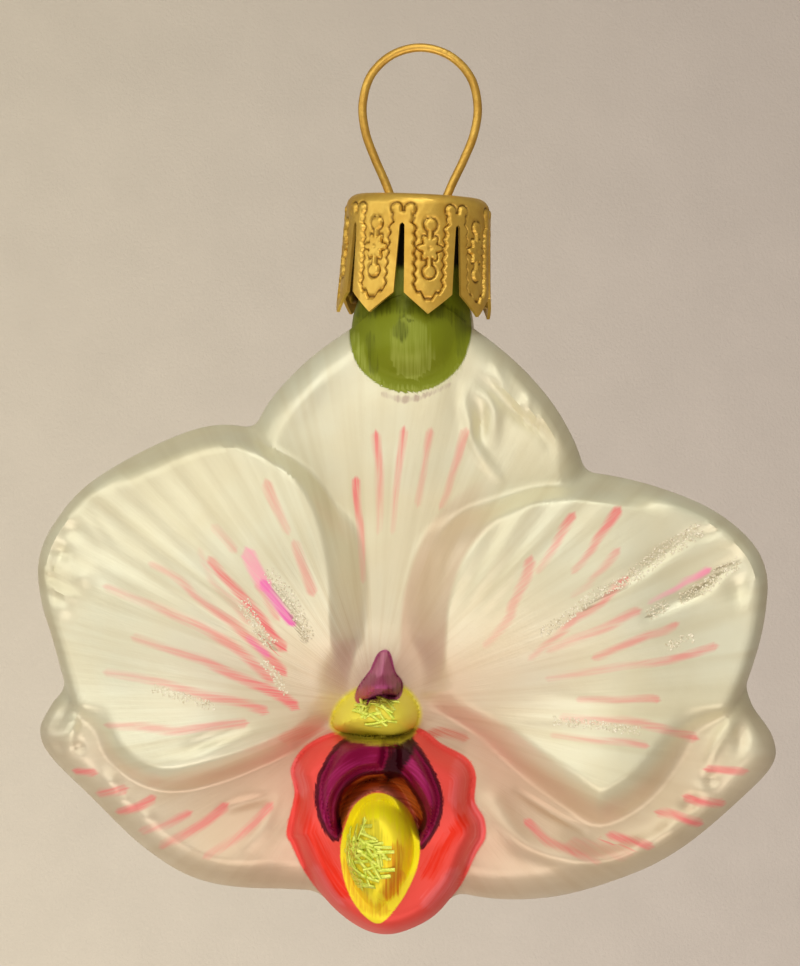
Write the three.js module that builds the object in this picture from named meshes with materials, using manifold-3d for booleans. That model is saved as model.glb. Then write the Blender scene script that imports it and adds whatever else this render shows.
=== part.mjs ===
// A hanging tree ornament of blown glass in the shape of a moth-orchid bloom, with its stamped metal
// cap and its sprung wire loop. Millimetres, +Z up, the bloom faces -Y, and the origin is the point
// where the loop hangs, on the inside of its top.
import * as THREE from 'three';
import { mergeVertices } from 'three/addons/utils/BufferGeometryUtils.js';
import Module from 'manifold-3d';

const wasm = await Module();
wasm.setup();

// Driving dimensions
const RUNNING_GAP = 0.3;
const NECK_LEAN = THREE.MathUtils.degToRad(2.5);
const NECK_OFFSET = 0.34;
const LOOP_TILT = THREE.MathUtils.degToRad(1.5);
const HEART = { x: -3.1, z: -56.4 };
const GLASS_WALL = 0.9;
const NECK_BORE_RADIUS = 3.5;
const NECK_MOUTH_Z = -13.3;
const BULB_BOTTOM_Z = -29.6;
const CAP_SHEET = 0.4;
const CAP_TAB_COUNT = 8;
const CAP_TOP_RADIUS = 5.1;
const CAP_SKIRT_RADIUS = 6.1;
const CAP_FOOT_RADIUS = 6.4;
const WIRE_RADIUS = 0.375;

// Net of the bloom: facets around, ring spacing close to the lip, beyond it and at the rim
const NET_CENTRE = [-0.3, -4.2];
const OUTER_NET = {
  around: 96,
  front: { nearReach: 8.0, nearStep: 0.8, farStep: 2.5, insets: [2.2, 1.3, 0.65, 0.25] },
  back: { nearReach: 6.0, nearStep: 3.0, farStep: 4.0, insets: [2.2, 1.1, 0.35] },
};
const INNER_NET = {
  around: 44,
  front: { nearReach: 6.0, nearStep: 1.2, farStep: 4.0, insets: [1.6, 0.5] },
  back: { nearReach: 6.0, nearStep: 3.0, farStep: 5.0, insets: [1.6, 0.5] },
};

// Forms of the bloom, in millimetres from its heart: u to the right, v up, and heights to the front of
// the mould's parting plane. edge is how far in from the outline a form reaches its full height, topEdge
// the same on its upper side, power how softly its foot sets off, and spots are heights [u, v, height]
// that its face passes close to.
const FRONT_WEB = { height: 4.4, edge: 2.6 };
const BACK_WEB = { height: 3.6, edge: 4.0 };
const PLAN_BLEND = 1.2;
const TOP_EDGE_RISE = 10;
const MAIN_FORMS = [
  { name: 'dorsal sepal', blend: 1.0, edge: 5.0, power: 1.1, spread: 2.4,
    outline: [[2.3, 35.4], [-3.2, 32.2], [-7.5, 28.9], [-10.9, 24.6], [-12, 19], [-11, 8], [-7, 0], [0, -4],
      [7, 0], [12, 8], [16.4, 16], [17.2, 20], [15.6, 24.2], [12.6, 28.2], [8.2, 32]],
    spots: [[2.3, 31, 4.6], [2.2, 25, 5.6], [1.6, 19, 5.8], [1.2, 14, 5.6], [0.9, 9, 5.4], [0.5, 4, 4.9],
      [-6, 27, 4.6], [-9.5, 23, 5.0], [-3.4, 16, 4.0], [-2.4, 9, 3.8], [2.9, 10, 4.2], [4.6, 15, 4.6],
      [10, 27, 4.4], [14, 21.5, 5.0], [8, 20.5, 5.2], [-4.6, 21, 4.8]] },
  { name: 'left lateral sepal', blend: 1.0, edge: 3.4, power: 1.4, spread: 2.2,
    outline: [[-27.7, 0.9], [-29.4, -1], [-30, -2.8], [-29, -4.9], [-25.6, -8.3], [-21, -12.7],
      [-16.2, -15.5], [-10, -16.3], [-3, -15.5], [0, -8], [-2, 3], [-12, 4], [-22, 3.5]],
    spots: [[-27.6, -2.3, 5.0], [-24, -7.5, 4.4], [-19, -11.6, 4.6], [-13.5, -12.6, 5.8], [-9.4, -10.4, 6.4],
      [-14, -9, 3.8], [-8, -7, 4.2], [-7, -14, 4.4], [-3, -11, 5]] },
  { name: 'right lateral sepal', blend: 1.0, edge: 3.4, power: 1.4, spread: 2.2,
    outline: [[30.4, 1.4], [32.2, -0.9], [33.7, -3.2], [33.7, -5.4], [31.2, -8.2], [26, -12.6], [21, -15.2],
      [14, -17.1], [7, -16.8], [1, -14], [1, -6], [2, 3], [12, 4], [24, 4]],
    spots: [[31, -4, 5.0], [27, -9, 4.6], [21, -13, 4.8], [15, -13.2, 5.6], [10.4, -10.6, 6.6],
      [12, -8.0, 4.2], [20, -11, 4.1], [9, -14.8, 4.4], [4, -12, 5]] },
  { name: 'heart', blend: 2.0, edge: 5.0, power: 1.0, spread: 4.0,
    outline: [[9, 0], [6.4, 6.4], [0, 8.5], [-6.4, 6.4], [-9, 0], [-7, -6.4], [0, -9], [7, -6.4]],
    spots: [[0, 0, 4.6], [6, 0, 4.4], [-6, 0, 4.4], [0, 6, 4.2]] },
  { name: 'left petal', blend: 1.2, edge: 4.6, topEdge: 2.6, power: 1.3, spread: 3.4,
    outline: [[-1.5, 0], [-2.9, 6], [-3.2, 12], [-5.2, 19.2], [-9.5, 22.8], [-14.2, 24], [-19.4, 22.5],
      [-25.6, 19], [-28.8, 15.4], [-30.1, 12.2], [-29.9, 8.8], [-28.9, 5.4], [-27.4, 0.2], [-25, -5.8],
      [-19.5, -8.8], [-12.5, -7.6], [-5.5, -4.6]],
    spots: [[-3, -1, 4.7], [-7, -2, 5.8], [-5, 5, 6.8], [-5.5, 9, 8.2], [-6, 13, 8.9], [-7.5, 18, 8.7],
      [-11, 20.5, 8.2], [-15.5, 21, 7.7], [-20, 19.5, 7.1], [-25, 15.5, 6.2], [-28, 12, 5.4],
      [-27.5, 6, 5.7], [-25.5, 0, 6.1], [-22.5, -4, 7.4], [-18.5, -4.8, 8.9], [-14.5, -3.8, 8.9],
      [-10.5, -2.8, 7.6], [-11, 8, 8.6], [-18, 12, 8.4], [-19, 4, 7.8], [-13, 2, 7.2], [-22.5, 9, 7.6],
      [-8, 3, 6.6], [-14, 16, 8.6]] },
  { name: 'right petal', blend: 1.2, edge: 4.6, topEdge: 2.6, power: 1.3, spread: 3.4,
    outline: [[1.2, 0], [2.3, 4], [2.8, 9.5], [5, 15], [9.5, 18.6], [15, 19.9], [21, 19.3], [27.5, 17.1],
      [31.5, 14.2], [33.1, 11.2], [33, 7.6], [32.2, 4], [30.7, 0], [28, -5], [23.5, -10], [18, -12.2],
      [12.5, -9.2], [7, -5.2]],
    spots: [[2.8, -1, 4.7], [7, -1.6, 5.8], [5, 4, 6.8], [6.4, 8, 8.4], [8, 13, 9.0], [11, 16, 8.6],
      [16, 16.6, 8.2], [21, 16, 7.7], [26.5, 14, 6.8], [30, 10.5, 5.9], [30.2, 5.5, 5.8],
      [28.6, 0.8, 6.0], [26, -3, 6.9], [22.5, -5.8, 8.6], [19.3, -7.2, 9.6], [14.4, -4.6, 8.9],
      [10, -2.4, 7.2], [12, 8, 8.4], [20, 9, 8.4], [14, 2, 7.2], [22, 2, 7.8], [27, 6, 7.4],
      [8, 3, 6.7], [17, 13, 8.7]] },
  { name: 'lip', blend: 0.8, edge: 2.8, power: 1.2, spread: 1.5,
    outline: [[-3.2, -2.2], [-6.6, -3.5], [-8.1, -5.6], [-7.8, -7.8], [-8.5, -11], [-8, -12.3],
      [-6.8, -14.8], [-4.9, -17.5], [-2.6, -19.4], [-0.4, -20.2], [1.8, -19.9], [4.4, -18.5], [6.4, -16],
      [7.8, -13], [8.6, -11.5], [8.5, -9.9], [7.7, -8.4], [7.8, -6.2], [7, -4.7], [4.9, -3.5], [2.4, -2]],
    spots: [[-7, -6, 9.0], [-7.2, -10.5, 9.4], [-5.9, -13.6, 9.8], [-3.8, -16.4, 9.8], [-0.5, -17.8, 9.6],
      [3, -16.8, 9.8], [5.8, -14, 9.8], [7.5, -10.8, 9.4], [6.9, -6.6, 9.0], [-5.4, -8.4, 10.4],
      [-5, -5, 9.8], [4, -5, 9.8], [4.8, -8.6, 10.4], [-0.5, -4.6, 9.2], [-4.5, -12.8, 8.2],
      [4, -13.2, 8.2], [2.8, -15, 8.4], [-3.4, -15.2, 8.4], [-0.5, -11, 8.0], [5.8, -10.6, 8.8],
      [-6, -11, 8.8]] },
];
const THROAT = { edge: 1.0, depth: 4.0,
  outline: [[-4, -11.2], [-4.4, -9], [-3.6, -7], [-2, -5.9], [0, -5.6], [1.7, -6], [3.3, -7.6], [3.7, -9.6],
    [3, -11.7], [1.6, -9.8], [0.6, -8], [-0.9, -7.4], [-2.7, -8.6]] };
const RAISED_FORMS = [
  { name: 'bulb', blend: 0.5, edge: 4.6, power: 1.0, spread: 2.2,
    outline: [[2.1, 26.7], [4.3, 27.2], [6.4, 28.9], [7.4, 31.5], [7.2, 34.5], [5.5, 37], [2.3, 38], [-0.9, 37],
      [-2.7, 34.5], [-3.1, 31.5], [-2.2, 28.8], [0, 27.1]],
    spots: [[2.1, 30, 7.4], [2.2, 33, 6.2], [2.3, 36, 4.0]] },
  { name: 'left crescent', blend: 0.4, edge: 1.0, power: 1.0, spread: 1.5,
    outline: [[0.1, -2.7], [-3.5, -3.1], [-5.4, -5.6], [-5.8, -8], [-5.3, -10.2], [-4.3, -11.5],
      [-3.8, -10.8], [-4.1, -9], [-3.5, -7.1], [-2, -5.9], [0.1, -5.5]],
    spots: [[-0.5, -4.4, 10.4], [-3.7, -5.3, 11.8], [-5.1, -7.8, 11.8], [-4.6, -10.3, 10.4]] },
  { name: 'right crescent', blend: 0.4, edge: 0.9, power: 1.0, spread: 1.5,
    outline: [[0.8, -2.7], [2.4, -3.2], [4, -5.5], [4.8, -7.9], [4.5, -10], [3.7, -11.5], [3, -12.2],
      [2.7, -11.4], [3.4, -9.8], [2.8, -8], [1.6, -6.2], [0.7, -5.5]],
    spots: [[1.4, -4.5, 10.4], [3.4, -6.2, 11.8], [4.3, -8.8, 11.6], [3.4, -11.5, 10.2]] },
  { name: 'tongue', blend: 0.4, edge: 2.3, power: 0.9, spread: 1.8,
    outline: [[-0.8, -7.5], [-2.5, -8.4], [-3.4, -10.3], [-3.8, -12.3], [-3.6, -14.4], [-2.9, -16.4],
      [-1.7, -18], [-0.6, -18.6], [0.5, -17.8], [1.9, -15.8], [2.8, -13.6], [2.9, -11.4], [2.2, -9.4],
      [0.9, -8]],
    spots: [[-0.8, -8.6, 11.4], [-0.8, -10.8, 13], [-0.8, -13.3, 13.4], [-0.8, -15.6, 12.2],
      [-0.7, -17.2, 10.6], [-3.1, -12.3, 12.6], [1.8, -12.3, 12.6]] },
  { name: 'column', blend: 0.4, edge: 2.4, power: 1.0, spread: 1.6,
    outline: [[-4.8, -1.7], [-4.3, -0.2], [-2.9, 1.1], [-0.9, 1.7], [1.5, 1.5], [2.8, 0.2], [3.1, -1.3],
      [2.3, -2.7], [0.5, -3.3], [-2.4, -3.1], [-4.2, -2.6]],
    spots: [[-0.8, -1, 11.6], [-3.3, -1.3, 10.4], [1.8, -1, 10.6], [-0.8, 1.4, 10.5]] },
  { name: 'anther', blend: 0.3, edge: 1.3, power: 1.0, spread: 1.0,
    outline: [[0, 4.6], [-0.7, 4.2], [-1.3, 2.9], [-2.4, 1.3], [-2.5, 0.3], [-1.5, 0], [-0.5, 0.4],
      [0.8, 0.4], [1.4, 0.8], [1.5, 1.8], [0.9, 2.7], [0.5, 4.2]],
    spots: [[-0.1, 4.3, 8.4], [-0.3, 3, 10.6], [-0.6, 1.6, 12.6], [-1.8, 0.8, 11.6], [1, 1.3, 11.6],
      [-0.4, 0.6, 12.4]] },
];
const BACK = { height: 5.8, heartHeight: 3.4, heartSpread: 15, edge: 9.0, power: 1.1, blend: 2.0 };

// Neck: [radius, height] from the round foot of the green bulb up to the mouth
const NECK_OUTSIDE = [
  [1.2, BULB_BOTTOM_Z + 0.1], [2.4, -29.1], [3.5, -28.3], [4.4, -27.3], [5.0, -26.2], [5.3, -25.0],
  [5.3, -23.8], [5.1, -22.6], [4.7, -21.4], [4.3, -20.2], [4.1, -19.0], [4.1, NECK_MOUTH_Z],
];
const NECK_BORE_FOOT_Z = -34.0;

// Cap: heights along the neck's axis
const CAP_TOP_Z = NECK_MOUTH_Z + RUNNING_GAP + CAP_SHEET;
const CAP_SHOULDER_Z = CAP_TOP_Z - 1.7;
const CAP_TAB = {
  firstAngle: THREE.MathUtils.degToRad(10.6),
  slitTopZ: -14.85, slitTopWidth: 0.4, slitFootZ: -21.0, slitFootWidth: 0.9, tipZ: -22.8,
};
const CAP_HOLE_OFFSET = 2.38;
const CAP_HOLE_RADIUS = WIRE_RADIUS + RUNNING_GAP + 0.1;

// Wire: one side of the loop and its leg, [x, z] of the centre line from the top down. The loop above
// the cap is tilted back against the neck's lean.
const WIRE_HALF = [
  [2.5, -0.3], [4.33, -2.13], [5.0, -4.63], [4.72, -7.05], [3.9, -9.25], [3.05, -11.1],
  [2.55, -12.3], [2.3, -13.1], [2.45, -14.2], [2.75, -16.4], [2.8, -20.0], [2.8, -24.4],
];
const WIRE_STEPS = 66;
const WIRE_SIDES = 8;

// Tinsel: oval dabs of glue that hold short fibres, [u, v] from the heart
const TINSEL_FILM = 0.4;
const TINSEL_FIBRE = 0.26;
const GLUE_GAP = 0.4;
const COLUMN_DAB = { centre: [-0.8, -0.9], radii: [1.9, 1.1], fibres: 6, length: 2.1, seed: 11 };
const LIP_DAB = { centre: [-0.9, -12.6], radii: [1.4, 2.5], fibres: 9, length: 2.4, seed: 5 };

// Colours and finishes
const FINISH = {
  glass_flower: { color: 0xe8e2cc, roughness: 0.28, metalness: 0.1 },
  cap: { color: 0xc99b46, roughness: 0.35, metalness: 0.9 },
  hanger_wire: { color: 0xbe8c32, roughness: 0.3, metalness: 0.9 },
  column_tinsel: { color: 0xc8f028, roughness: 0.3, metalness: 0.2 },
  lip_tinsel: { color: 0xc8f028, roughness: 0.3, metalness: 0.2 },
};

// Small maths

function clamp01(x) {
  return Math.min(Math.max(x, 0), 1);
}

// Rises round and steep from 0 and levels off at 1, like a quarter circle
function roundEdge(s) {
  return Math.sqrt(1 - (1 - clamp01(s)) ** 2);
}

function smoothStep(s) {
  const t = clamp01(s);
  return t * t * (3 - 2 * t);
}

function blendMax(a, b, width) {
  const near = Math.max(width - Math.abs(a - b), 0) / width;
  return Math.max(a, b) + (near * near * width) / 4;
}

function seededRandom(seed) {
  let state = seed;
  return () => {
    state = (state * 16807) % 2147483647;
    return state / 2147483647;
  };
}

// Outlines

const STEPS_PER_POINT = 8;

function closedCurve(outline) {
  const points = outline.map(([u, v]) => new THREE.Vector3(u, v, 0));
  const curve = new THREE.CatmullRomCurve3(points, true, 'catmullrom', 0.5);
  return curve.getPoints(outline.length * STEPS_PER_POINT).slice(0, -1).map(({ x, y }) => [x, y]);
}

// Distance from a point to a closed curve, positive inside it
function insideDistance([u, v], curve) {
  let nearest = Infinity;
  let inside = false;
  let [u0, v0] = curve[curve.length - 1];
  for (const [u1, v1] of curve) {
    const du = u1 - u0;
    const dv = v1 - v0;
    const along = clamp01(((u - u0) * du + (v - v0) * dv) / (du * du + dv * dv));
    nearest = Math.min(nearest, Math.hypot(u - u0 - along * du, v - v0 - along * dv));
    if (v0 > v !== v1 > v && u < u0 + ((v - v0) * du) / dv) inside = !inside;
    [u0, v0] = [u1, v1];
  }
  return inside ? nearest : -nearest;
}

for (const form of [...MAIN_FORMS, THROAT, ...RAISED_FORMS]) form.curve = closedCurve(form.outline);

// Heights of the bloom

function faceHeight([u, v], { spots, spread }) {
  let sum = 0;
  let weight = 0;
  for (const [su, sv, height] of spots) {
    const w = Math.exp(-((u - su) ** 2 + (v - sv) ** 2) / (2 * spread * spread)) + 1e-9;
    sum += w * height;
    weight += w;
  }
  return sum / weight;
}

function formHeight(point, form, inside) {
  const { edge, topEdge = edge, power } = form;
  const width = edge + (topEdge - edge) * smoothStep(point[1] / TOP_EDGE_RISE);
  return faceHeight(point, form) * roundEdge(inside / width) ** power;
}

// How far inside the silhouette a point lies
function planDistance(point) {
  return MAIN_FORMS.map((form) => insideDistance(point, form.curve))
    .reduce((a, b) => blendMax(a, b, PLAN_BLEND));
}

function frontHeight(point) {
  let height = FRONT_WEB.height * roundEdge(planDistance(point) / FRONT_WEB.edge);
  for (const form of MAIN_FORMS) {
    height = blendMax(height, formHeight(point, form, insideDistance(point, form.curve)), form.blend);
  }
  height -= THROAT.depth * smoothStep(insideDistance(point, THROAT.curve) / THROAT.edge);
  for (const form of RAISED_FORMS) {
    const inside = insideDistance(point, form.curve);
    if (inside > 0) height = blendMax(height, formHeight(point, form, inside), form.blend);
  }
  return height;
}

function backHeight([u, v]) {
  const top = BACK.height + BACK.heartHeight * Math.exp(-((u * u + (v + 1) ** 2) / BACK.heartSpread ** 2));
  let height = BACK_WEB.height * roundEdge(planDistance([u, v]) / BACK_WEB.edge);
  for (const form of MAIN_FORMS) {
    const inside = insideDistance([u, v], form.curve);
    height = blendMax(height, top * roundEdge(inside / BACK.edge) ** BACK.power, BACK.blend);
  }
  return height;
}

// Meshes as solids

function toManifold(geometry) {
  const bare = new THREE.BufferGeometry();
  bare.setAttribute('position', geometry.getAttribute('position').clone());
  if (geometry.index) bare.setIndex(geometry.index.clone());
  const merged = mergeVertices(bare, 1e-3);
  const index = merged.index.array;
  const triangles = [];
  for (let i = 0; i < index.length; i += 3) {
    const [a, b, c] = [index[i], index[i + 1], index[i + 2]];
    if (a !== b && b !== c && c !== a) triangles.push(a, b, c);
  }
  return new wasm.Manifold(new wasm.Mesh({
    numProp: 3,
    vertProperties: new Float32Array(merged.getAttribute('position').array),
    triVerts: new Uint32Array(triangles),
  }));
}

function toGeometry(solid) {
  const mesh = solid.getMesh();
  const geometry = new THREE.BufferGeometry();
  geometry.setAttribute('position', new THREE.BufferAttribute(new Float32Array(mesh.vertProperties), 3));
  geometry.setIndex(new THREE.BufferAttribute(new Uint32Array(mesh.triVerts), 1));
  geometry.computeVertexNormals();
  return geometry;
}

// Turned about +Z from [radius, height] points that run up the outside
function turned(profile, segments) {
  const points = profile.map(([r, z]) => new THREE.Vector2(r, z));
  return new THREE.LatheGeometry(points, segments).rotateX(Math.PI / 2);
}

function onNeckAxis(geometry) {
  return geometry.rotateY(NECK_LEAN).translate(NECK_OFFSET, 0, 0);
}

function onPlan([u, v], height) {
  return [HEART.x + u, -height, HEART.z + v];
}

// Skins over a polar net

function rimRadius(angle, distance) {
  const at = (r) => distance([NET_CENTRE[0] + r * Math.cos(angle), NET_CENTRE[1] + r * Math.sin(angle)]);
  let low = 46;
  while (at(low) < 0) low -= 0.5;
  let high = low + 0.5;
  for (let step = 0; step < 12; step += 1) {
    const middle = (low + high) / 2;
    if (at(middle) > 0) low = middle;
    else high = middle;
  }
  return low;
}

// Radii of the rings for one direction, from the middle out, the rim left off
function ringRadii(rim, longestRim, { nearReach, nearStep, farStep, insets }) {
  const near = [];
  for (let r = nearStep; r <= nearReach + 1e-6; r += nearStep) near.push(r);
  const farCount = Math.ceil((longestRim - insets[0] - nearReach) / farStep);
  const span = rim - insets[0] - nearReach;
  const far = Array.from({ length: farCount }, (_, i) => nearReach + (span * (i + 1)) / (farCount + 1));
  return [...near, ...far, ...insets.map((inset) => rim - inset)];
}

function apart([x0, y0, z0], [x1, y1, z1]) {
  return Math.hypot(x1 - x0, y1 - y0, z1 - z0);
}

// A closed skin: a front and a back sheet of rings that meet along the rim, each four-sided cell of
// the net split along its shorter diagonal
function polarSkin({ around, front, back }, distance, frontOf, backOf) {
  const angles = Array.from({ length: around }, (_, i) => (2 * Math.PI * i) / around);
  const rims = angles.map((angle) => rimRadius(angle, distance));
  const longest = Math.max(...rims);
  const place = (angle, r) => [NET_CENTRE[0] + r * Math.cos(angle), NET_CENTRE[1] + r * Math.sin(angle)];
  const vertices = angles.map((angle, i) => onPlan(place(angle, rims[i]), 0));
  const faces = [];
  for (const [net, heightOf, side] of [[front, frontOf, 1], [back, backOf, -1]]) {
    const addFace = (a, b, c) => faces.push(side > 0 ? [a, b, c] : [a, c, b]);
    const radii = rims.map((rim) => ringRadii(rim, longest, net));
    const ringCount = radii[0].length;
    const pole = vertices.length;
    vertices.push(onPlan(NET_CENTRE, side * heightOf(NET_CENTRE)));
    for (let ring = 0; ring < ringCount; ring += 1) {
      angles.forEach((angle, i) => {
        const point = place(angle, radii[i][ring]);
        vertices.push(onPlan(point, side * heightOf(point)));
      });
    }
    const start = (ring) => (ring < ringCount ? pole + 1 + ring * around : 0);
    for (let i = 0; i < around; i += 1) {
      const j = (i + 1) % around;
      addFace(pole, start(0) + i, start(0) + j);
      for (let ring = 0; ring < ringCount; ring += 1) {
        const [a, b, c, d] = [start(ring) + i, start(ring + 1) + i, start(ring + 1) + j, start(ring) + j];
        if (apart(vertices[a], vertices[c]) < apart(vertices[b], vertices[d])) {
          addFace(a, b, c);
          addFace(a, c, d);
        } else {
          addFace(a, b, d);
          addFace(b, c, d);
        }
      }
    }
  }
  const geometry = new THREE.BufferGeometry();
  geometry.setAttribute('position', new THREE.Float32BufferAttribute(vertices.flat(), 3));
  geometry.setIndex(faces.flat());
  return geometry;
}

// The glass: bloom and neck blown in one, hollow, open at the mouth of the neck

const INNER_RIM = 1.8;
const INNER_ROUND = 3.0;
const WALL_PROBE = { reaches: [0.8, 1.6], directions: 8 };

// Lowest height close round a point, so that steep places keep a full wall too
function lowestNear([u, v], heightOf) {
  let lowest = heightOf([u, v]);
  for (const reach of WALL_PROBE.reaches) {
    for (let i = 0; i < WALL_PROBE.directions; i += 1) {
      const angle = (2 * Math.PI * i) / WALL_PROBE.directions;
      lowest = Math.min(lowest, heightOf([u + reach * Math.cos(angle), v + reach * Math.sin(angle)]));
    }
  }
  return lowest;
}

function innerHeight(point, heightOf) {
  const deep = planDistance(point) - INNER_RIM;
  return Math.max(lowestNear(point, heightOf) - GLASS_WALL, 0.6) * roundEdge(deep / INNER_ROUND);
}

function glassFlower() {
  const bloom = toManifold(polarSkin(OUTER_NET, planDistance, frontHeight, backHeight));
  const neckProfile = [[0, BULB_BOTTOM_Z], ...NECK_OUTSIDE, [0, NECK_MOUTH_Z]];
  const neck = toManifold(onNeckAxis(turned(neckProfile, 36)));
  const hollow = toManifold(polarSkin(
    INNER_NET,
    (point) => planDistance(point) - INNER_RIM,
    (point) => innerHeight(point, frontHeight),
    (point) => innerHeight(point, backHeight),
  ));
  const boreProfile = [
    [0, NECK_BORE_FOOT_Z], [NECK_BORE_RADIUS - 1.4, NECK_BORE_FOOT_Z], [NECK_BORE_RADIUS, NECK_BORE_FOOT_Z + 2],
    [NECK_BORE_RADIUS, NECK_MOUTH_Z + 1], [0, NECK_MOUTH_Z + 1],
  ];
  const bore = toManifold(onNeckAxis(turned(boreProfile, 28)));
  return toGeometry(bloom.add(neck).subtract(hollow.add(bore)));
}

// The cap: a stamped crown of sheet metal with pointed tabs

function tabNotch(angle) {
  const { slitTopZ, slitTopWidth, slitFootZ, slitFootWidth, tipZ } = CAP_TAB;
  const halfPitch = CAP_FOOT_RADIUS * Math.sin(Math.PI / CAP_TAB_COUNT);
  const below = tipZ - 1;
  const shape = new THREE.Shape();
  shape.moveTo(-slitFootWidth / 2, slitFootZ);
  shape.lineTo(-halfPitch, tipZ);
  shape.lineTo(-halfPitch, below);
  shape.lineTo(halfPitch, below);
  shape.lineTo(halfPitch, tipZ);
  shape.lineTo(slitFootWidth / 2, slitFootZ);
  shape.lineTo(slitTopWidth / 2, slitTopZ);
  shape.absarc(0, slitTopZ, slitTopWidth / 2, 0, Math.PI, false);
  shape.closePath();
  const inward = 2.5;
  const outward = 1.5;
  const notch = new THREE.ExtrudeGeometry(shape, {
    depth: inward + outward, bevelEnabled: false, curveSegments: 4,
  });
  notch.rotateX(Math.PI / 2);
  notch.translate(0, -(CAP_FOOT_RADIUS - inward), 0);
  return notch.rotateZ(angle);
}

function capHole(side) {
  const hole = new THREE.CylinderGeometry(CAP_HOLE_RADIUS, CAP_HOLE_RADIUS, 3 * CAP_SHEET, 16);
  hole.rotateX(Math.PI / 2);
  return hole.translate(side * CAP_HOLE_OFFSET, 0, CAP_TOP_Z - CAP_SHEET / 2);
}

function cap() {
  const footZ = CAP_TAB.tipZ - 0.4;
  let solid = toManifold(turned([
    [0, CAP_TOP_Z - CAP_SHEET],
    [CAP_TOP_RADIUS - CAP_SHEET / 2, CAP_TOP_Z - CAP_SHEET],
    [CAP_SKIRT_RADIUS - CAP_SHEET, CAP_SHOULDER_Z - CAP_SHEET / 2],
    [CAP_FOOT_RADIUS - CAP_SHEET, footZ],
    [CAP_FOOT_RADIUS, footZ],
    [CAP_SKIRT_RADIUS, CAP_SHOULDER_Z],
    [CAP_TOP_RADIUS, CAP_TOP_Z],
    [0, CAP_TOP_Z],
  ], 64));
  for (let tab = 0; tab < CAP_TAB_COUNT; tab += 1) {
    const angle = CAP_TAB.firstAngle + ((tab + 0.5) * 2 * Math.PI) / CAP_TAB_COUNT;
    solid = solid.subtract(toManifold(tabNotch(angle)));
  }
  for (const side of [-1, 1]) solid = solid.subtract(toManifold(capHole(side)));
  return toGeometry(solid);
}

// The hanging wire: a sprung loop whose two legs pass the cap and spread inside the neck

function wirePoint([x, z]) {
  const rise = z - CAP_TOP_Z;
  if (rise < 0) return new THREE.Vector3(x, 0, z);
  const [c, s] = [Math.cos(LOOP_TILT), Math.sin(LOOP_TILT)];
  return new THREE.Vector3(x * c - rise * s, 0, CAP_TOP_Z + x * s + rise * c);
}

function hangerWire() {
  const left = WIRE_HALF.map(([x, z]) => wirePoint([-x, z])).reverse();
  const right = WIRE_HALF.map(wirePoint);
  const path = new THREE.CatmullRomCurve3([...left, wirePoint([0, WIRE_RADIUS]), ...right]);
  const section = new THREE.Shape();
  for (let i = 0; i < WIRE_SIDES; i += 1) {
    const angle = (2 * Math.PI * i) / WIRE_SIDES;
    const [x, y] = [WIRE_RADIUS * Math.cos(angle), WIRE_RADIUS * Math.sin(angle)];
    if (i === 0) section.moveTo(x, y);
    else section.lineTo(x, y);
  }
  section.closePath();
  const wire = new THREE.ExtrudeGeometry(section, { steps: WIRE_STEPS, extrudePath: path, bevelEnabled: false });
  return toGeometry(toManifold(wire));
}

// The tinsel: a thin dab of glue laid over the glass, with short fibres set in it

function glueDab({ centre, radii }) {
  const around = 14;
  const ringCount = 3;
  const vertices = [];
  const faces = [];
  const under = (point) => frontHeight(point) + GLUE_GAP;
  for (let ring = 0; ring <= ringCount; ring += 1) {
    const reach = ring / ringCount;
    for (let i = 0; i < around; i += 1) {
      const angle = (2 * Math.PI * i) / around;
      const point = [
        centre[0] + reach * radii[0] * Math.cos(angle),
        centre[1] + reach * radii[1] * Math.sin(angle),
      ];
      const rise = TINSEL_FILM * Math.max(roundEdge(1.15 * (1 - reach)), 0.3);
      vertices.push(onPlan(point, under(point)), onPlan(point, under(point) + rise));
    }
  }
  const at = (ring, i, top) => 2 * (ring * around + (i % around)) + top;
  for (let i = 0; i < around; i += 1) {
    for (let ring = 0; ring < ringCount; ring += 1) {
      faces.push([at(ring, i, 1), at(ring + 1, i, 1), at(ring + 1, i + 1, 1)]);
      faces.push([at(ring, i, 1), at(ring + 1, i + 1, 1), at(ring, i + 1, 1)]);
      faces.push([at(ring, i, 0), at(ring + 1, i + 1, 0), at(ring + 1, i, 0)]);
      faces.push([at(ring, i, 0), at(ring, i + 1, 0), at(ring + 1, i + 1, 0)]);
    }
    faces.push([at(ringCount, i, 0), at(ringCount, i + 1, 0), at(ringCount, i + 1, 1)]);
    faces.push([at(ringCount, i, 0), at(ringCount, i + 1, 1), at(ringCount, i, 1)]);
  }
  const geometry = new THREE.BufferGeometry();
  geometry.setAttribute('position', new THREE.Float32BufferAttribute(vertices.flat(), 3));
  geometry.setIndex(faces.flat());
  return geometry;
}

// One fibre lies along the surface with both ends a little raised
function fibre([u, v], heading, length, lift) {
  const half = length / 2;
  const heights = [-1, -0.5, 0, 0.5, 1].map((t) =>
    frontHeight([u + t * half * Math.cos(heading), v + t * half * Math.sin(heading)]));
  const slope = Math.atan2(heights[4] - heights[0], length);
  const clearance = Math.max(...heights.map((h, i) => h - (heights[0] + ((heights[4] - heights[0]) * i) / 4)));
  const middle = (heights[0] + heights[4]) / 2 + clearance + GLUE_GAP + TINSEL_FIBRE * 0.6 + lift;
  const strand = new THREE.BoxGeometry(length, TINSEL_FIBRE, TINSEL_FIBRE);
  strand.rotateZ(-slope);
  strand.rotateY(-heading);
  return strand.translate(...onPlan([u, v], middle));
}

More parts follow.
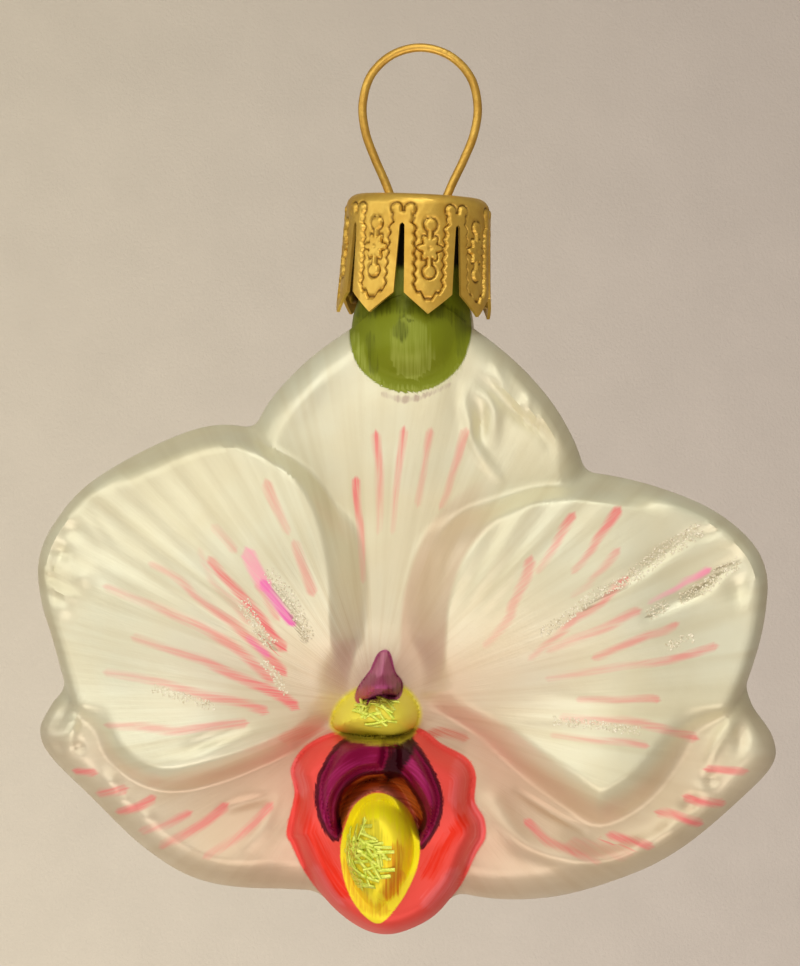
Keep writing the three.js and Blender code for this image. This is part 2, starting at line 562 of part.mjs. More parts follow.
function tinsel(dab) {
  const random = seededRandom(dab.seed);
  let solid = toManifold(glueDab(dab));
  for (let i = 0; i < dab.fibres; i += 1) {
    const turn = 2 * Math.PI * random();
    const reach = 0.75 * Math.sqrt(random());
    const foot = [
      dab.centre[0] + reach * dab.radii[0] * Math.cos(turn),
      dab.centre[1] + reach * dab.radii[1] * Math.sin(turn),
    ];
    const length = dab.length * (0.75 + 0.4 * random());
    solid = solid.add(toManifold(fibre(foot, Math.PI * random(), length, 0.15 * random())));
  }
  const bodies = solid.decompose().sort((a, b) => b.volume() - a.volume());
  return toGeometry(bodies[0]);
}

// Assembly

function piece(name, geometry) {
  const mesh = new THREE.Mesh(geometry, new THREE.MeshStandardMaterial(FINISH[name]));
  mesh.name = name;
  return mesh;
}

const group = new THREE.Group();
group.add(piece('glass_flower', glassFlower()));
group.add(piece('column_tinsel', tinsel(COLUMN_DAB)));
group.add(piece('lip_tinsel', tinsel(LIP_DAB)));

const hanging = new THREE.Group();
hanging.rotation.y = NECK_LEAN;
hanging.position.x = NECK_OFFSET;
hanging.add(piece('cap', cap()));
hanging.add(piece('hanger_wire', hangerWire()));
group.add(hanging);

export default group;
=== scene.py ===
"""A hanging tree ornament: a blown-glass moth-orchid bloom, painted by hand, with its stamped crown
cap, its sprung wire loop, dabs of glued tinsel and strewn silver glitter."""

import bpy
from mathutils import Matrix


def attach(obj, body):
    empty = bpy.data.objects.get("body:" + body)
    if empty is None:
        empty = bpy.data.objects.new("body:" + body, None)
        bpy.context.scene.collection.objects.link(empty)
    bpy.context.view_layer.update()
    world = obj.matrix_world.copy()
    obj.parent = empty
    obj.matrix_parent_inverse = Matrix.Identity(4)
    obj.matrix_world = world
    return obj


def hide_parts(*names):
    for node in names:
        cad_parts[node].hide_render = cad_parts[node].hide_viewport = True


bl_info = {
    "name": "Glass Orchid Ornament",
    "version": (1, 0, 0),
    "blender": (4, 5, 0),
    "location": "3D View > Sidebar > Ornament",
    "description": "Builds the painted glass bloom, its stamped cap, wire loop, tinsel and glitter",
    "category": "Object",
}

import math
from functools import reduce

import bpy
import numpy as np
from bpy.props import FloatProperty, FloatVectorProperty, IntProperty, PointerProperty
from mathutils import Vector

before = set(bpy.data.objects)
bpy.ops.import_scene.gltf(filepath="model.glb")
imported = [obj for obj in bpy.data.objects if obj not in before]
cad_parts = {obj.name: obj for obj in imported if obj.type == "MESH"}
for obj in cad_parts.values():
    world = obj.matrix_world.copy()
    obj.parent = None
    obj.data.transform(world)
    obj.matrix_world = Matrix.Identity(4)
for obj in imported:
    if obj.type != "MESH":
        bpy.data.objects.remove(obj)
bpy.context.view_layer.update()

MM = 0.001
HEART = np.array([-3.1, -56.4])
NECK_LEAN = math.radians(2.5)
NECK_OFFSET = 0.34
LOOP_TILT = math.radians(1.5)
NECK_MOUTH_Z = -13.3
CAP_TOP_Z = -12.6


def paint(red, green, blue):
    """A colour given as it looks on a screen, 0 to 255, as linear values."""
    def linear(value):
        part = value / 255
        return part / 12.92 if part <= 0.04045 else ((part + 0.055) / 1.055) ** 2.4
    return (linear(red), linear(green), linear(blue), 1.0)


# Forms of the bloom, in millimetres from its heart: u to the right, v up, and heights to the front of the
# mould's parting plane. edge is how far in from the outline a form reaches its full height, top_edge the
# same on its upper side, outer_edge the same far out to the side, low_edge the same under a crisp ridge,
# top_wall the same under the ridge along its top, inner_wall the width of the wall beside the dorsal sepal
# and its part outside the outline, power how softly its foot sets off, and spots are heights
# (u, v, height) that its face passes close to. A reach is where an effect starts and where it is full.
PLAN_BLEND = 1.2
TOP_EDGE_REACH = (0, 10)
OUTER_EDGE_REACH = (15, 25)
LOW_EDGE_REACH = (0, -3)
TOP_WALL_REACH = {"up": (11, 16), "out": (25, 18)}
DORSAL_REACH = {"out": (11, 7), "foot": (1, 6), "top": (22, 13)}
PRESSED_REACH = (0, 1.5)
RAISED_MARGIN = 0.3
FRONT_WEB = {"height": 4.4, "edge": 2.6}
BACK_WEB = {"height": 3.6, "edge": 4.0}
BACK = {"height": 5.8, "heart": (0, -1), "heart_height": 3.4, "heart_spread": 15.0, "edge": 9.0,
        "power": 1.1, "blend": 2.0}
MAIN_FORMS = {
    "dorsal": dict(
        blend=1.0, edge=2.4, power=1.1, spread=2.4,
        outline=[(2.3, 35.4), (-3.2, 32.2), (-7.5, 28.9), (-10.9, 24.6), (-12, 19), (-11, 8), (-7, 0),
                 (0, -4), (7, 0), (12, 8), (16.4, 16), (17.2, 20), (15.6, 24.2), (12.6, 28.2), (8.2, 32)],
        spots=[(2.3, 31, 4.6), (2.2, 25, 5.6), (1.6, 19, 5.8), (1.2, 14, 5.6), (0.9, 9, 5.4), (0.5, 4, 4.9),
               (-6, 27, 4.6), (-9.5, 23, 5.0), (-3.4, 16, 4.0), (-2.4, 9, 3.8), (2.9, 10, 4.2),
               (4.6, 15, 4.6), (10, 27, 4.4), (14, 21.5, 5.0), (8, 20.5, 5.2), (-4.6, 21, 4.8)]),
    "lateral_left": dict(
        blend=1.0, edge=2.9, power=1.4, spread=2.2,
        outline=[(-27.7, 0.9), (-29.4, -1), (-30, -2.8), (-29, -4.9), (-25.6, -8.3), (-21, -12.7),
                 (-16.2, -15.5), (-10, -16.3), (-3, -15.5), (0, -8), (-2, 3), (-12, 4), (-22, 3.5)],
        spots=[(-27.6, -2.3, 5.0), (-24, -7.5, 4.4), (-19, -11.6, 4.6), (-13.5, -12.6, 5.8),
               (-9.4, -10.4, 6.4), (-14, -9, 3.8), (-8, -7, 4.2), (-7, -14, 4.4), (-3, -11, 5)]),
    "lateral_right": dict(
        blend=1.0, edge=2.9, power=1.4, spread=2.2,
        outline=[(30.4, 1.4), (32.2, -0.9), (33.7, -3.2), (33.7, -5.4), (31.2, -8.2), (26, -12.6),
                 (21, -15.2), (14, -17.1), (7, -16.8), (1, -14), (1, -6), (2, 3), (12, 4), (24, 4)],
        spots=[(31, -4, 5.0), (27, -9, 4.6), (21, -13, 4.8), (15, -13.2, 5.6), (10.4, -10.6, 6.6),
               (12, -8.0, 4.2), (20, -11, 4.1), (9, -14.8, 4.4), (4, -12, 5)]),
    "heart": dict(
        blend=2.0, edge=5.0, power=1.0, spread=4.0,
        outline=[(9, 0), (6.4, 6.4), (0, 8.5), (-6.4, 6.4), (-9, 0), (-7, -6.4), (0, -9), (7, -6.4)],
        spots=[(0, 0, 4.6), (6, 0, 4.4), (-6, 0, 4.4), (0, 6, 4.2)]),
    "petal_left": dict(
        blend=1.2, edge=4.6, top_edge=1.9, outer_edge=1.3, low_edge=3.5, inner_wall=(5.5, 3.6), top_wall=2.0,
        power=1.3, spread=3.4,
        outline=[(-1.5, 0), (-2.9, 6), (-3.2, 12), (-5.2, 19.2), (-9.5, 22.8), (-14.2, 24), (-19.4, 22.5),
                 (-25.6, 19), (-28.8, 15.4), (-30.1, 12.2), (-29.9, 8.8), (-28.9, 5.4), (-27.4, 0.2),
                 (-25, -5.8), (-19.5, -8.8), (-12.5, -7.6), (-5.5, -4.6)],
        spots=[(-3, -1, 4.7), (-7, -2, 5.8), (-5, 5, 6.8), (-5.5, 9, 8.2), (-6, 13, 8.9), (-7.5, 18, 8.7),
               (-11, 20.5, 8.2), (-15.5, 21, 7.7), (-20, 19.5, 7.1), (-25, 15.5, 6.2), (-28, 12, 5.4),
               (-27.5, 6, 5.7), (-25.5, 0, 6.1), (-22.5, -4, 7.4), (-18.5, -4.8, 8.9), (-14.5, -3.8, 8.9),
               (-10.5, -2.8, 7.6), (-11, 8, 8.6), (-18, 12, 8.4), (-19, 4, 7.8), (-13, 2, 7.2),
               (-22.5, 9, 7.6), (-8, 3, 6.6), (-14, 16, 8.6)]),
    "petal_right": dict(
        blend=1.2, edge=4.6, top_edge=1.9, outer_edge=1.5, low_edge=5.0, inner_wall=(6.7, 3.7), top_wall=2.6,
        power=1.3, spread=3.4,
        outline=[(1.2, 0), (2.3, 4), (2.8, 9.5), (5, 15), (9.5, 18.6), (15, 19.9), (21, 19.3), (27.5, 17.1),
                 (31.5, 14.2), (33.1, 11.2), (33, 7.6), (32.2, 4), (30.7, 0), (28, -5), (23.5, -10),
                 (18, -12.2), (12.5, -9.2), (7, -5.2)],
        spots=[(2.8, -1, 4.7), (7, -1.6, 5.8), (5, 4, 6.8), (6.4, 8, 8.4), (8, 13, 9.0), (11, 16, 8.6),
               (16, 16.6, 8.2), (21, 16, 7.7), (26.5, 14, 6.8), (30, 10.5, 5.9), (30.2, 5.5, 5.8),
               (28.6, 0.8, 6.0), (26, -3, 6.9), (22.5, -5.8, 8.6), (19.3, -7.2, 9.6), (14.4, -4.6, 8.9),
               (10, -2.4, 7.2), (12, 8, 8.4), (20, 9, 8.4), (14, 2, 7.2), (22, 2, 7.8), (27, 6, 7.4),
               (8, 3, 6.7), (17, 13, 8.7)]),
    "lip": dict(
        blend=0.8, edge=2.1, power=1.2, spread=1.5,
        outline=[(-3.2, -2.2), (-6.6, -3.5), (-8.1, -5.6), (-7.8, -7.8), (-8.5, -11), (-8, -12.3),
                 (-6.8, -14.8), (-4.9, -17.5), (-2.6, -19.4), (-0.4, -20.2), (1.8, -19.9), (4.4, -18.5),
                 (6.4, -16), (7.8, -13), (8.6, -11.5), (8.5, -9.9), (7.7, -8.4), (7.8, -6.2), (7, -4.7),
                 (4.9, -3.5), (2.4, -2)],
        spots=[(-7, -6, 9.0), (-7.2, -10.5, 9.4), (-5.9, -13.6, 9.8), (-3.8, -16.4, 9.8), (-0.5, -17.8, 9.6),
               (3, -16.8, 9.8), (5.8, -14, 9.8), (7.5, -10.8, 9.4), (6.9, -6.6, 9.0), (-5.4, -8.4, 10.4),
               (-5, -5, 9.8), (4, -5, 9.8), (4.8, -8.6, 10.4), (-0.5, -4.6, 9.2), (-4.5, -12.8, 8.2),
               (4, -13.2, 8.2), (2.8, -15, 8.4), (-3.4, -15.2, 8.4), (-0.5, -11, 8.0), (5.8, -10.6, 8.8),
               (-6, -11, 8.8)]),
}
THROAT = dict(
    edge=1.0, depth=4.0,
    outline=[(-4, -11.2), (-4.4, -9), (-3.6, -7), (-2, -5.9), (0, -5.6), (1.7, -6), (3.3, -7.6),
             (3.7, -9.6), (3, -11.7), (1.6, -9.8), (0.6, -8), (-0.9, -7.4), (-2.7, -8.6)])
RAISED_FORMS = {
    "bulb": dict(
        blend=0.5, edge=4.6, power=1.0, spread=2.2,
        outline=[(2.1, 26.7), (4.3, 27.2), (6.4, 28.9), (7.4, 31.5), (7.2, 34.5), (5.5, 37), (2.3, 38),
                 (-0.9, 37), (-2.7, 34.5), (-3.1, 31.5), (-2.2, 28.8), (0, 27.1)],
        spots=[(2.1, 30, 7.4), (2.2, 33, 6.2), (2.3, 36, 4.0)]),
    "crescent_left": dict(
        blend=0.4, edge=1.0, power=1.0, spread=1.5,
        outline=[(0.1, -2.7), (-3.5, -3.1), (-5.4, -5.6), (-5.8, -8), (-5.3, -10.2), (-4.3, -11.5),
                 (-3.8, -10.8), (-4.1, -9), (-3.5, -7.1), (-2, -5.9), (0.1, -5.5)],
        spots=[(-0.5, -4.4, 10.4), (-3.7, -5.3, 11.8), (-5.1, -7.8, 11.8), (-4.6, -10.3, 10.4)]),
    "crescent_right": dict(
        blend=0.4, edge=0.9, power=1.0, spread=1.5,
        outline=[(0.8, -2.7), (2.4, -3.2), (4, -5.5), (4.8, -7.9), (4.5, -10), (3.7, -11.5), (3, -12.2),
                 (2.7, -11.4), (3.4, -9.8), (2.8, -8), (1.6, -6.2), (0.7, -5.5)],
        spots=[(1.4, -4.5, 10.4), (3.4, -6.2, 11.8), (4.3, -8.8, 11.6), (3.4, -11.5, 10.2)]),
    "tongue": dict(
        blend=0.4, edge=2.3, power=0.9, spread=1.8,
        outline=[(-0.8, -7.5), (-2.5, -8.4), (-3.4, -10.3), (-3.8, -12.3), (-3.6, -14.4), (-2.9, -16.4),
                 (-1.7, -18), (-0.6, -18.6), (0.5, -17.8), (1.9, -15.8), (2.8, -13.6), (2.9, -11.4),
                 (2.2, -9.4), (0.9, -8)],
        spots=[(-0.8, -8.6, 11.4), (-0.8, -10.8, 13), (-0.8, -13.3, 13.4), (-0.8, -15.6, 12.2),
               (-0.7, -17.2, 10.6), (-3.1, -12.3, 12.6), (1.8, -12.3, 12.6)]),
    "column": dict(
        blend=0.4, edge=2.4, power=1.0, spread=1.6,
        outline=[(-4.8, -1.7), (-4.3, -0.2), (-2.9, 1.1), (-0.9, 1.7), (1.5, 1.5), (2.8, 0.2), (3.1, -1.3),
                 (2.3, -2.7), (0.5, -3.3), (-2.4, -3.1), (-4.2, -2.6)],
        spots=[(-0.8, -1, 11.6), (-3.3, -1.3, 10.4), (1.8, -1, 10.6), (-0.8, 1.4, 10.5)]),
    "anther": dict(
        blend=0.3, edge=1.3, power=1.0, spread=1.0,
        outline=[(0, 4.6), (-0.7, 4.2), (-1.3, 2.9), (-2.4, 1.3), (-2.5, 0.3), (-1.5, 0), (-0.5, 0.4),
                 (0.8, 0.4), (1.4, 0.8), (1.5, 1.8), (0.9, 2.7), (0.5, 4.2)],
        spots=[(-0.1, 4.3, 8.4), (-0.3, 3, 10.6), (-0.6, 1.6, 12.6), (-1.8, 0.8, 11.6), (1, 1.3, 11.6),
               (-0.4, 0.6, 12.4)]),
}

# Ridges (positive) and furrows (negative) pressed into the bloom: points, half width, height
CREASES = [
    ([(9.6, 28.9), (9.8, 27.9), (10.5, 26.7), (11.6, 25.6), (12.9, 24.7), (13.8, 24), (14.8, 22.7),
      (15.3, 21.5)], 0.5, 0.6),
    ([(10.7, 28.5), (11.8, 27.2), (12.9, 26.1), (13.9, 24.9), (14.6, 23.8), (15.3, 22.5)], 0.5, 0.55),
    ([(8.5, 27.4), (10, 26.4), (11.8, 24.6), (13.7, 23.2), (14.4, 22)], 0.6, -0.6),
    ([(7, 27.1), (6.9, 25.5), (7.3, 24), (7.3, 23.1), (8.2, 21.3), (9.6, 19.5)], 0.5, 0.5),
    ([(7.8, 26.9), (9, 25.9), (9.4, 24.6), (9.3, 22.7)], 0.5, 0.5),
    ([(8.3, 25.5), (8.2, 22.5)], 0.5, -0.5),
    ([(5, 15.8), (3.9, 14.3), (3, 12.6), (2.1, 10)], 0.5, 0.25),
    ([(-8.2, 24.7), (-5.6, 28.4)], 1.1, 0.35),
    ([(-28.6, 13.8), (-28.4, 14.5), (-28, 15.2), (-27.3, 15.7)], 0.4, 0.35),
    ([(-28.8, 10.1), (-27.6, 9.4), (-26.3, 9.2)], 0.4, 0.4),
    ([(-28.8, 9.6), (-27.7, 8.8)], 0.35, -0.3),
    ([(-25.2, 16.7), (-24.2, 15.2), (-23.1, 14)], 0.4, 0.15),
    ([(-26.1, 15.8), (-25.1, 14.8), (-24.4, 13.6)], 0.4, 0.15),
    ([(-18.8, -4.9), (-15.8, -4.3), (-13.2, -3), (-9.6, -2.2)], 0.7, 0.25),
    ([(-17, -3.9), (-15.3, -3.2), (-12.4, -2.2)], 0.6, -0.35),
    ([(-27.3, 0.4), (-27.9, -1), (-28.5, -2.4)], 0.5, -0.7),
    ([(-26.5, 0.2), (-26.8, -1.8), (-27.1, -3.1)], 0.5, 0.7),
    ([(-14, -9.2), (-12, -8.6), (-10, -8.1)], 0.5, -0.35),
    ([(-12.5, -12.7), (-10.9, -11.2), (-9.7, -8.7)], 0.7, 0.3),
    ([(11.4, -7.6), (14.4, -9.5), (17, -10.9)], 0.35, -0.35),
    ([(9.4, -8.6), (10.6, -10.6), (12.2, -12.1), (15, -13.1), (19.2, -13.5), (23.5, -11.9), (27, -9.5)],
     1.0, 1.0),
    ([(30.6, -0.4), (29.5, -2), (28.4, -3.7), (27.6, -5.6)], 0.6, 0.6),
    ([(30.9, -0.6), (31.6, -2.1), (32.2, -3.7)], 0.6, 0.35),
    ([(30.6, -1.8), (30.5, -4)], 0.55, -0.6),
    ([(29.3, 14), (30.5, 13.5), (31.1, 12.7), (31.6, 11.3), (31.3, 9.5), (31.2, 8.1)], 0.4, 0.35),
    ([(28.6, 15.7), (27.9, 15.2)], 0.35, 0.3),
    ([(28.8, 15), (26.8, 14.2)], 0.35, -0.3),
    ([(30.4, 12.3), (28.6, 11.2), (26.9, 9.8), (25.2, 9), (22.5, 7.6)], 0.5, -0.55),
    ([(27.1, 15), (24.8, 13.6), (21.8, 11.5), (18.5, 9.7)], 0.55, -0.4),
    ([(11.6, -1.2), (15.5, -1.4), (19.4, -2)], 0.5, 0.12),
    ([(13.4, 0.9), (18, 0.2), (23, -1)], 0.5, -0.12),
]
# Dimples (negative) and swellings (positive): centre, radius, height
DIMPLES = [
    ((-27.8, 13), 0.7, -0.8), ((-28.4, 11.8), 0.35, -0.48), ((-28.6, 10.8), 0.4, -0.48),
    ((-26.9, 14.8), 0.7, -0.4), ((-27.6, 8.3), 0.8, 0.4), ((-25.9, 11), 0.9, 0.4),
    ((-28.1, -3.8), 0.5, -0.56), ((-26.4, -3.8), 0.5, -0.56), ((26.3, -8.7), 0.7, -0.64),
    ((28.1, -6.6), 0.6, -0.56), ((30.3, 9.9), 1.0, -0.56), ((12.3, 26), 0.4, 0.48),
    ((-23.7, -6.8), 0.8, 0.4), ((-22.7, -8.5), 0.7, 0.32), ((-20.6, -9.9), 0.8, 0.32),
    ((24.4, -10.9), 0.9, 0.32), ((27.3, -7.4), 0.7, 0.32), ((21.6, -12.4), 0.8, 0.32),
]
# Radial flutes of a petal: base point, pitch in degrees, where they start and are full, depth, sector
FLUTES = {
    "petal_left": dict(base=(-3, 0), pitch=5.2, start=9, full=20, depth=0.05, sector=(84, 160)),
    "petal_right": dict(base=(2, 0), pitch=7.4, start=8, full=14, depth=0.07, sector=(40, 90)),
}
# Waves that make up the flutes: share, stretch of the pitch, phase
FLUTE_WAVES = [(1, 1, 0), (0.55, 1.62, 1.0)]
SECTOR_FADES = (12, 15)

# Brush strokes of each paint: points, half width, strength at the first and at the last point.
# Neighbouring veins are laid in two coats, so that each coat's strokes lie well apart.
STROKES = {
    "coral": [
        ([(-10.1, 18.9), (-9.6, 17.5), (-9.1, 16.4), (-8.3, 14.8)], 0.42, 0.5, 0.25),
        ([(-7.7, 13.8), (-7.4, 12.9), (-6.9, 11.5), (-6.2, 9.6)], 0.4, 0.35, 0.55),
        ([(-14.6, 15.2), (-13.5, 14.1), (-12.9, 13.2)], 0.38, 0.2, 0.35),
        ([(-14.9, 12.4), (-13.9, 11.1), (-12.6, 9.7), (-11.5, 8.4), (-10.4, 7.1), (-9.6, 5.8), (-8.7, 4.8)],
         0.38, 0.75, 1.0),
        ([(-20, 12), (-17.5, 10.6), (-16.1, 9.2), (-14.5, 8), (-12.9, 6.9), (-11.7, 5.7), (-10.4, 4.5),
          (-8.7, 2.7)], 0.38, 0.3, 0.9),
        ([(-21.5, 5.7), (-17.5, 4.4), (-15.4, 3.7), (-13.4, 2.7), (-10.4, 1.4), (-9, 0.7), (-7.7, -0.2)],
         0.42, 0.3, 0.95),
        ([(-23.8, -1.8), (-20.9, -1.9), (-18.1, -2.2), (-15.2, -1.9), (-12, -1.6)], 0.36, 0.35, 0.55),
        ([(13, 11.4), (13.8, 12.5), (14.5, 13.6), (15.2, 14.9), (16, 16.1)], 0.36, 0.25, 0.75),
        ([(16.1, 11.4), (16.9, 12.3), (17.6, 13.2), (18.2, 14.3), (18.9, 15.2), (19.9, 16.6)],
         0.38, 0.35, 0.9),
        ([(12.4, 3.9), (13.6, 5), (15, 6.1), (16.2, 7.3), (17.3, 7.9), (18.4, 8.6), (19.4, 9.7),
          (20.6, 10.7)], 0.32, 0.3, 0.75),
        ([(17.9, 4), (19.9, 4.8), (21.3, 5.4), (22.5, 5.9), (23.8, 6.2), (24.9, 6.8)], 0.3, 0.5, 0.65),
        ([(16.5, 0.4), (19.5, 0.4), (22.5, 0.5), (23.3, 0.4)], 0.27, 0.35, 0.7),
        ([(14.3, -2.6), (17.7, -3), (20.5, -3.2), (22.3, -3.5)], 0.25, 0.25, 0.55),
        ([(-1.9, 10.5), (-2, 13.2), (-2.1, 15.2), (-2.3, 16.3), (-2.5, 17.8), (-2.5, 19.2)], 0.3, 0.3, 0.95),
        ([(0.6, 14.7), (0.8, 16.8), (1, 18.7), (1.2, 20.5), (1.4, 22.1), (1.6, 23.5)], 0.28, 0.2, 0.8),
        ([(4.8, 16.9), (5.3, 18.1), (5.8, 19.7), (6.3, 21.2), (6.9, 23.4)], 0.34, 0.3, 0.55),
        ([(-26.7, -5.9), (-25, -6)], 0.3, 0.8, 0.75),
        ([(-23, -9.4), (-21.4, -9), (-20, -8.2)], 0.34, 0.65, 0.85),
        ([(-19.3, -12.4), (-16.9, -11.1), (-15.4, -10.2), (-13.8, -8.9)], 0.4, 0.45, 0.75),
        ([(27.7, -5.7), (29.3, -5.8), (31.1, -5.9)], 0.3, 0.75, 0.7),
        ([(23.5, -9.4), (24.9, -9.6), (26.1, -10.1), (27.2, -10.4)], 0.34, 0.8, 0.9),
        ([(12.2, -10.2), (13.8, -11.7), (14.9, -12.2), (16.5, -12.9), (18.3, -13.6)], 0.36, 0.75, 0.3)],
    "coral_between": [
        ([(-10.9, 10.2), (-10, 8.7), (-9.2, 7.4)], 0.28, 0.35, 0.5),
        ([(-15.8, 13.2), (-14.7, 10.5), (-12.9, 8.7), (-11.7, 7.1)], 0.3, 0.15, 0.3),
        ([(-23.9, 10), (-20, 8.5), (-17.5, 7.4), (-15.8, 6.7), (-14.2, 5.7), (-12.9, 4.9), (-11.7, 3.9),
          (-9.8, 2.1)], 0.38, 0.3, 0.7),
        ([(-23.9, 2.7), (-20.2, 2.1), (-17.6, 1.4), (-15.2, 0.7), (-12.4, 0.2), (-10.3, -0.6)],
         0.36, 0.3, 0.7),
        ([(8.6, 5), (9.6, 6.1), (10.6, 7.4), (10.9, 8.5), (11.5, 9.8), (12.1, 11), (12.4, 12.3)],
         0.42, 0.2, 0.55),
        ([(16, 9.3), (17.2, 10.1), (17.9, 11), (18.9, 12), (19.8, 13.1)], 0.33, 0.15, 0.5),
        ([(14, 4.6), (16, 5.5), (17.4, 6), (18.9, 6.6), (20.3, 7.4), (21.6, 8)], 0.36, 0.25, 0.6),
        ([(13.9, 2.2), (17.7, 2.8), (20.3, 3.3), (23.2, 3.6), (26.2, 4.3), (28.3, 4.9)], 0.3, 0.25, 0.75),
        ([(15.1, -1.1), (17.7, -1.3), (20.5, -1.4), (23, -1.9), (25, -2.5), (26.6, -3)], 0.36, 0.3, 0.7),
        ([(-0.6, 14.7), (-0.5, 16.3), (-0.5, 18.4), (-0.5, 20.5), (-0.7, 21.7), (-0.8, 23.1)],
         0.32, 0.2, 0.85),
        ([(2.8, 17.1), (3.2, 19.3), (3.6, 21.7), (3.9, 23.4)], 0.28, 0.25, 0.55),
        ([(-24.7, -7.8), (-23.4, -7.6), (-22.4, -7.4)], 0.34, 0.65, 0.8),
        ([(-21, -11.1), (-19, -10.5), (-16.9, -9.5)], 0.3, 0.45, 0.7),
        ([(-15.4, -13.2), (-13.2, -11.9), (-11.5, -10.5), (-9.9, -8.8)], 0.36, 0.35, 0.65),
        ([(25.9, -8.1), (27.2, -8.5), (29.1, -8.7)], 0.34, 0.9, 0.8),
        ([(19.3, -11.4), (21, -11.8), (22.8, -12.3)], 0.34, 0.9, 0.75),
        ([(16.1, -12.2), (18.5, -12.6), (20.7, -12.9)], 0.7, 0.25, 0.2)],
    "rose": [
        ([(-11.7, 12.9), (-11, 11.4), (-10.2, 10.1)], 0.62, 0.75, 0.8),
        ([(22.6, 8.7), (23.7, 9.3), (24.9, 9.9), (25.7, 10.5), (26.7, 10.9), (27.7, 11.5)], 0.26, 0.4, 1.0)],
    "magenta": [
        ([(-10.4, 10.4), (-9.3, 8.8), (-8.6, 7.8), (-7.9, 7)], 0.42, 0.75, 1.0),
        ([(-11.7, 5.7), (-11, 5), (-10.1, 4.2)], 0.3, 0.3, 0.6)],
    "smear": [
        ([(2.4, -4), (3.5, -2.9), (4.7, -2.5), (5.8, -2.7), (6.9, -3)], 0.38, 0.9, 0.7),
        ([(-3.8, -3.4), (-5.1, -2.7), (-6.9, -2.5), (-8.7, -2.9)], 0.6, 0.45, 0.25)],
    # Size: grey olive painted shade laid in the furrows and along the glitter lines
    "size": [
        ([(30.4, 12.3), (29.6, 11.7), (28.6, 11.2), (27.8, 10.3), (26.9, 9.8), (25.2, 9)], 0.3, 0.8, 0.6),
        ([(24.2, 8.7), (23.5, 8.2), (22.5, 7.6)], 0.24, 0.5, 0.6),
        ([(-9.4, 10.2), (-8.3, 8.7), (-7.4, 6.9), (-6.8, 5.5)], 0.32, 0.35, 0.75),
        ([(-11, 6.4), (-10.2, 5.4), (-9.5, 4.8)], 0.26, 0.3, 0.5),
        ([(20.6, 10.2), (18.5, 9.3), (16.9, 8.2)], 0.22, 0.35, 0.5)],
    "smudge": [
        ([(-0.2, 26.6), (0.9, 26.2), (1.9, 26.1), (3, 26.3)], 0.28, 0.35, 0.6),
        ([(3.3, 26.5), (4.4, 26.8), (5.5, 27.4)], 0.2, 0.5, 0.3)],
    # Thin pink on the lip's ruffled edges, with painted highlights on the ruffles that face the light
    "lip_light": [
        ([(-8.2, -5.1), (-7.6, -6.3), (-7.2, -7.4)], 0.7, 0.6, 0.5),
        ([(7.6, -8.9), (8.2, -10.4), (8.0, -12), (7.2, -13.6)], 0.55, 0.6, 0.5),
        ([(3.5, -16.9), (4.7, -15.9), (6, -14.3)], 0.55, 0.5, 0.5),
        ([(6.3, -5.2), (6.3, -6.8), (6, -8.1)], 0.6, 0.4, 0.4),
        ([(-5.9, -13.9), (-4.9, -15.4), (-3.8, -16.8)], 0.4, 0.4, 0.5)],
    "lip_deep": [
        ([(-7.3, -8.4), (-6.8, -9.8), (-5.7, -11.9), (-4.4, -14.6), (-3.4, -16)], 0.6, 0.7, 1.0),
        ([(6.7, -9.7), (6, -10.9), (5, -12.3), (4.2, -13.5), (3.5, -14.4)], 0.55, 1.0, 0.9)],
    "throat_orange": [
        ([(-3.6, -10), (-3.2, -8.3), (-2.1, -7), (-0.6, -6.5), (1, -6.9), (2.2, -8.1), (2.8, -9.4)],
         0.55, 0.8, 0.95),
        ([(1.7, -6.2), (2.6, -7.1), (3.4, -8.3), (3.7, -9.7)], 0.36, 0.85, 0.7)],
    "throat_pink": [
        ([(-3, -9.4), (-2.4, -8.2), (-1.1, -7.4), (0.3, -7.4), (1.5, -8.2), (2.4, -9.9), (2.9, -11.6)],
         0.3, 0.75, 0.9)],
    "crescent_light": [
        ([(-4.8, -9.8), (-5.1, -8), (-4.6, -6.6), (-3.7, -5.5), (-2.4, -4.8), (-1, -4.3)], 0.4, 0.7, 0.6),
        ([(2.1, -4.8), (2.8, -5.8), (3.6, -7), (4.1, -8.2)], 0.4, 0.8, 0.6),
        ([(3.2, -10), (3.5, -10.8), (3.2, -11.6)], 0.35, 0.5, 0.8)],
    # Cleft shade: near-black painted shade in the cleft between the side lobes
    "gap": [
        ([(1.9, -3), (1.5, -4), (0.9, -5), (0.5, -6)], 0.75, 1.0, 1.0)],
    "tongue_lemon": [
        ([(-1.1, -7.8), (-2.1, -8.6), (-2.8, -9.9), (-3.2, -11.2)], 0.45, 0.6, 0.8),
        ([(-1.4, -8.8), (0.2, -8.7), (1.3, -9.6), (2, -10.8), (2.3, -12.3), (2.1, -13.9)], 0.7, 0.9, 1.0)],
    "tongue_ochre": [
        ([(1, -12), (0.9, -13.6), (0.4, -15.9)], 0.75, 0.8, 1.0),
        ([(-2.4, -15.8), (-1.4, -17.1), (-0.2, -17.4)], 0.6, 0.45, 0.5),
        ([(-3.4, -13.5), (-2.8, -15.4), (-1.8, -17.3)], 0.4, 0.6, 0.5)],
    "tongue_olive": [
        ([(-1.2, -10.6), (-1.6, -12.1), (-1.5, -14.9)], 1.3, 0.7, 0.6)],
    "anther_light": [([(0, 4.5), (-0.3, 3.4), (-0.6, 2.6)], 0.26, 0.6, 0.5)],
    "anther_band": [([(-1.8, 1.7), (-1.2, 2.1), (-0.2, 2.2), (1.2, 2.1)], 0.42, 0.6, 0.8)],
    "anther_maroon": [([(0.2, 1.1), (0.9, 1.1), (1.4, 1.5)], 0.5, 0.9, 0.8)],
    "anther_red": [([(-2.4, 0.5), (-1.8, 1), (-1.2, 1.4)], 0.5, 0.9, 0.4)],
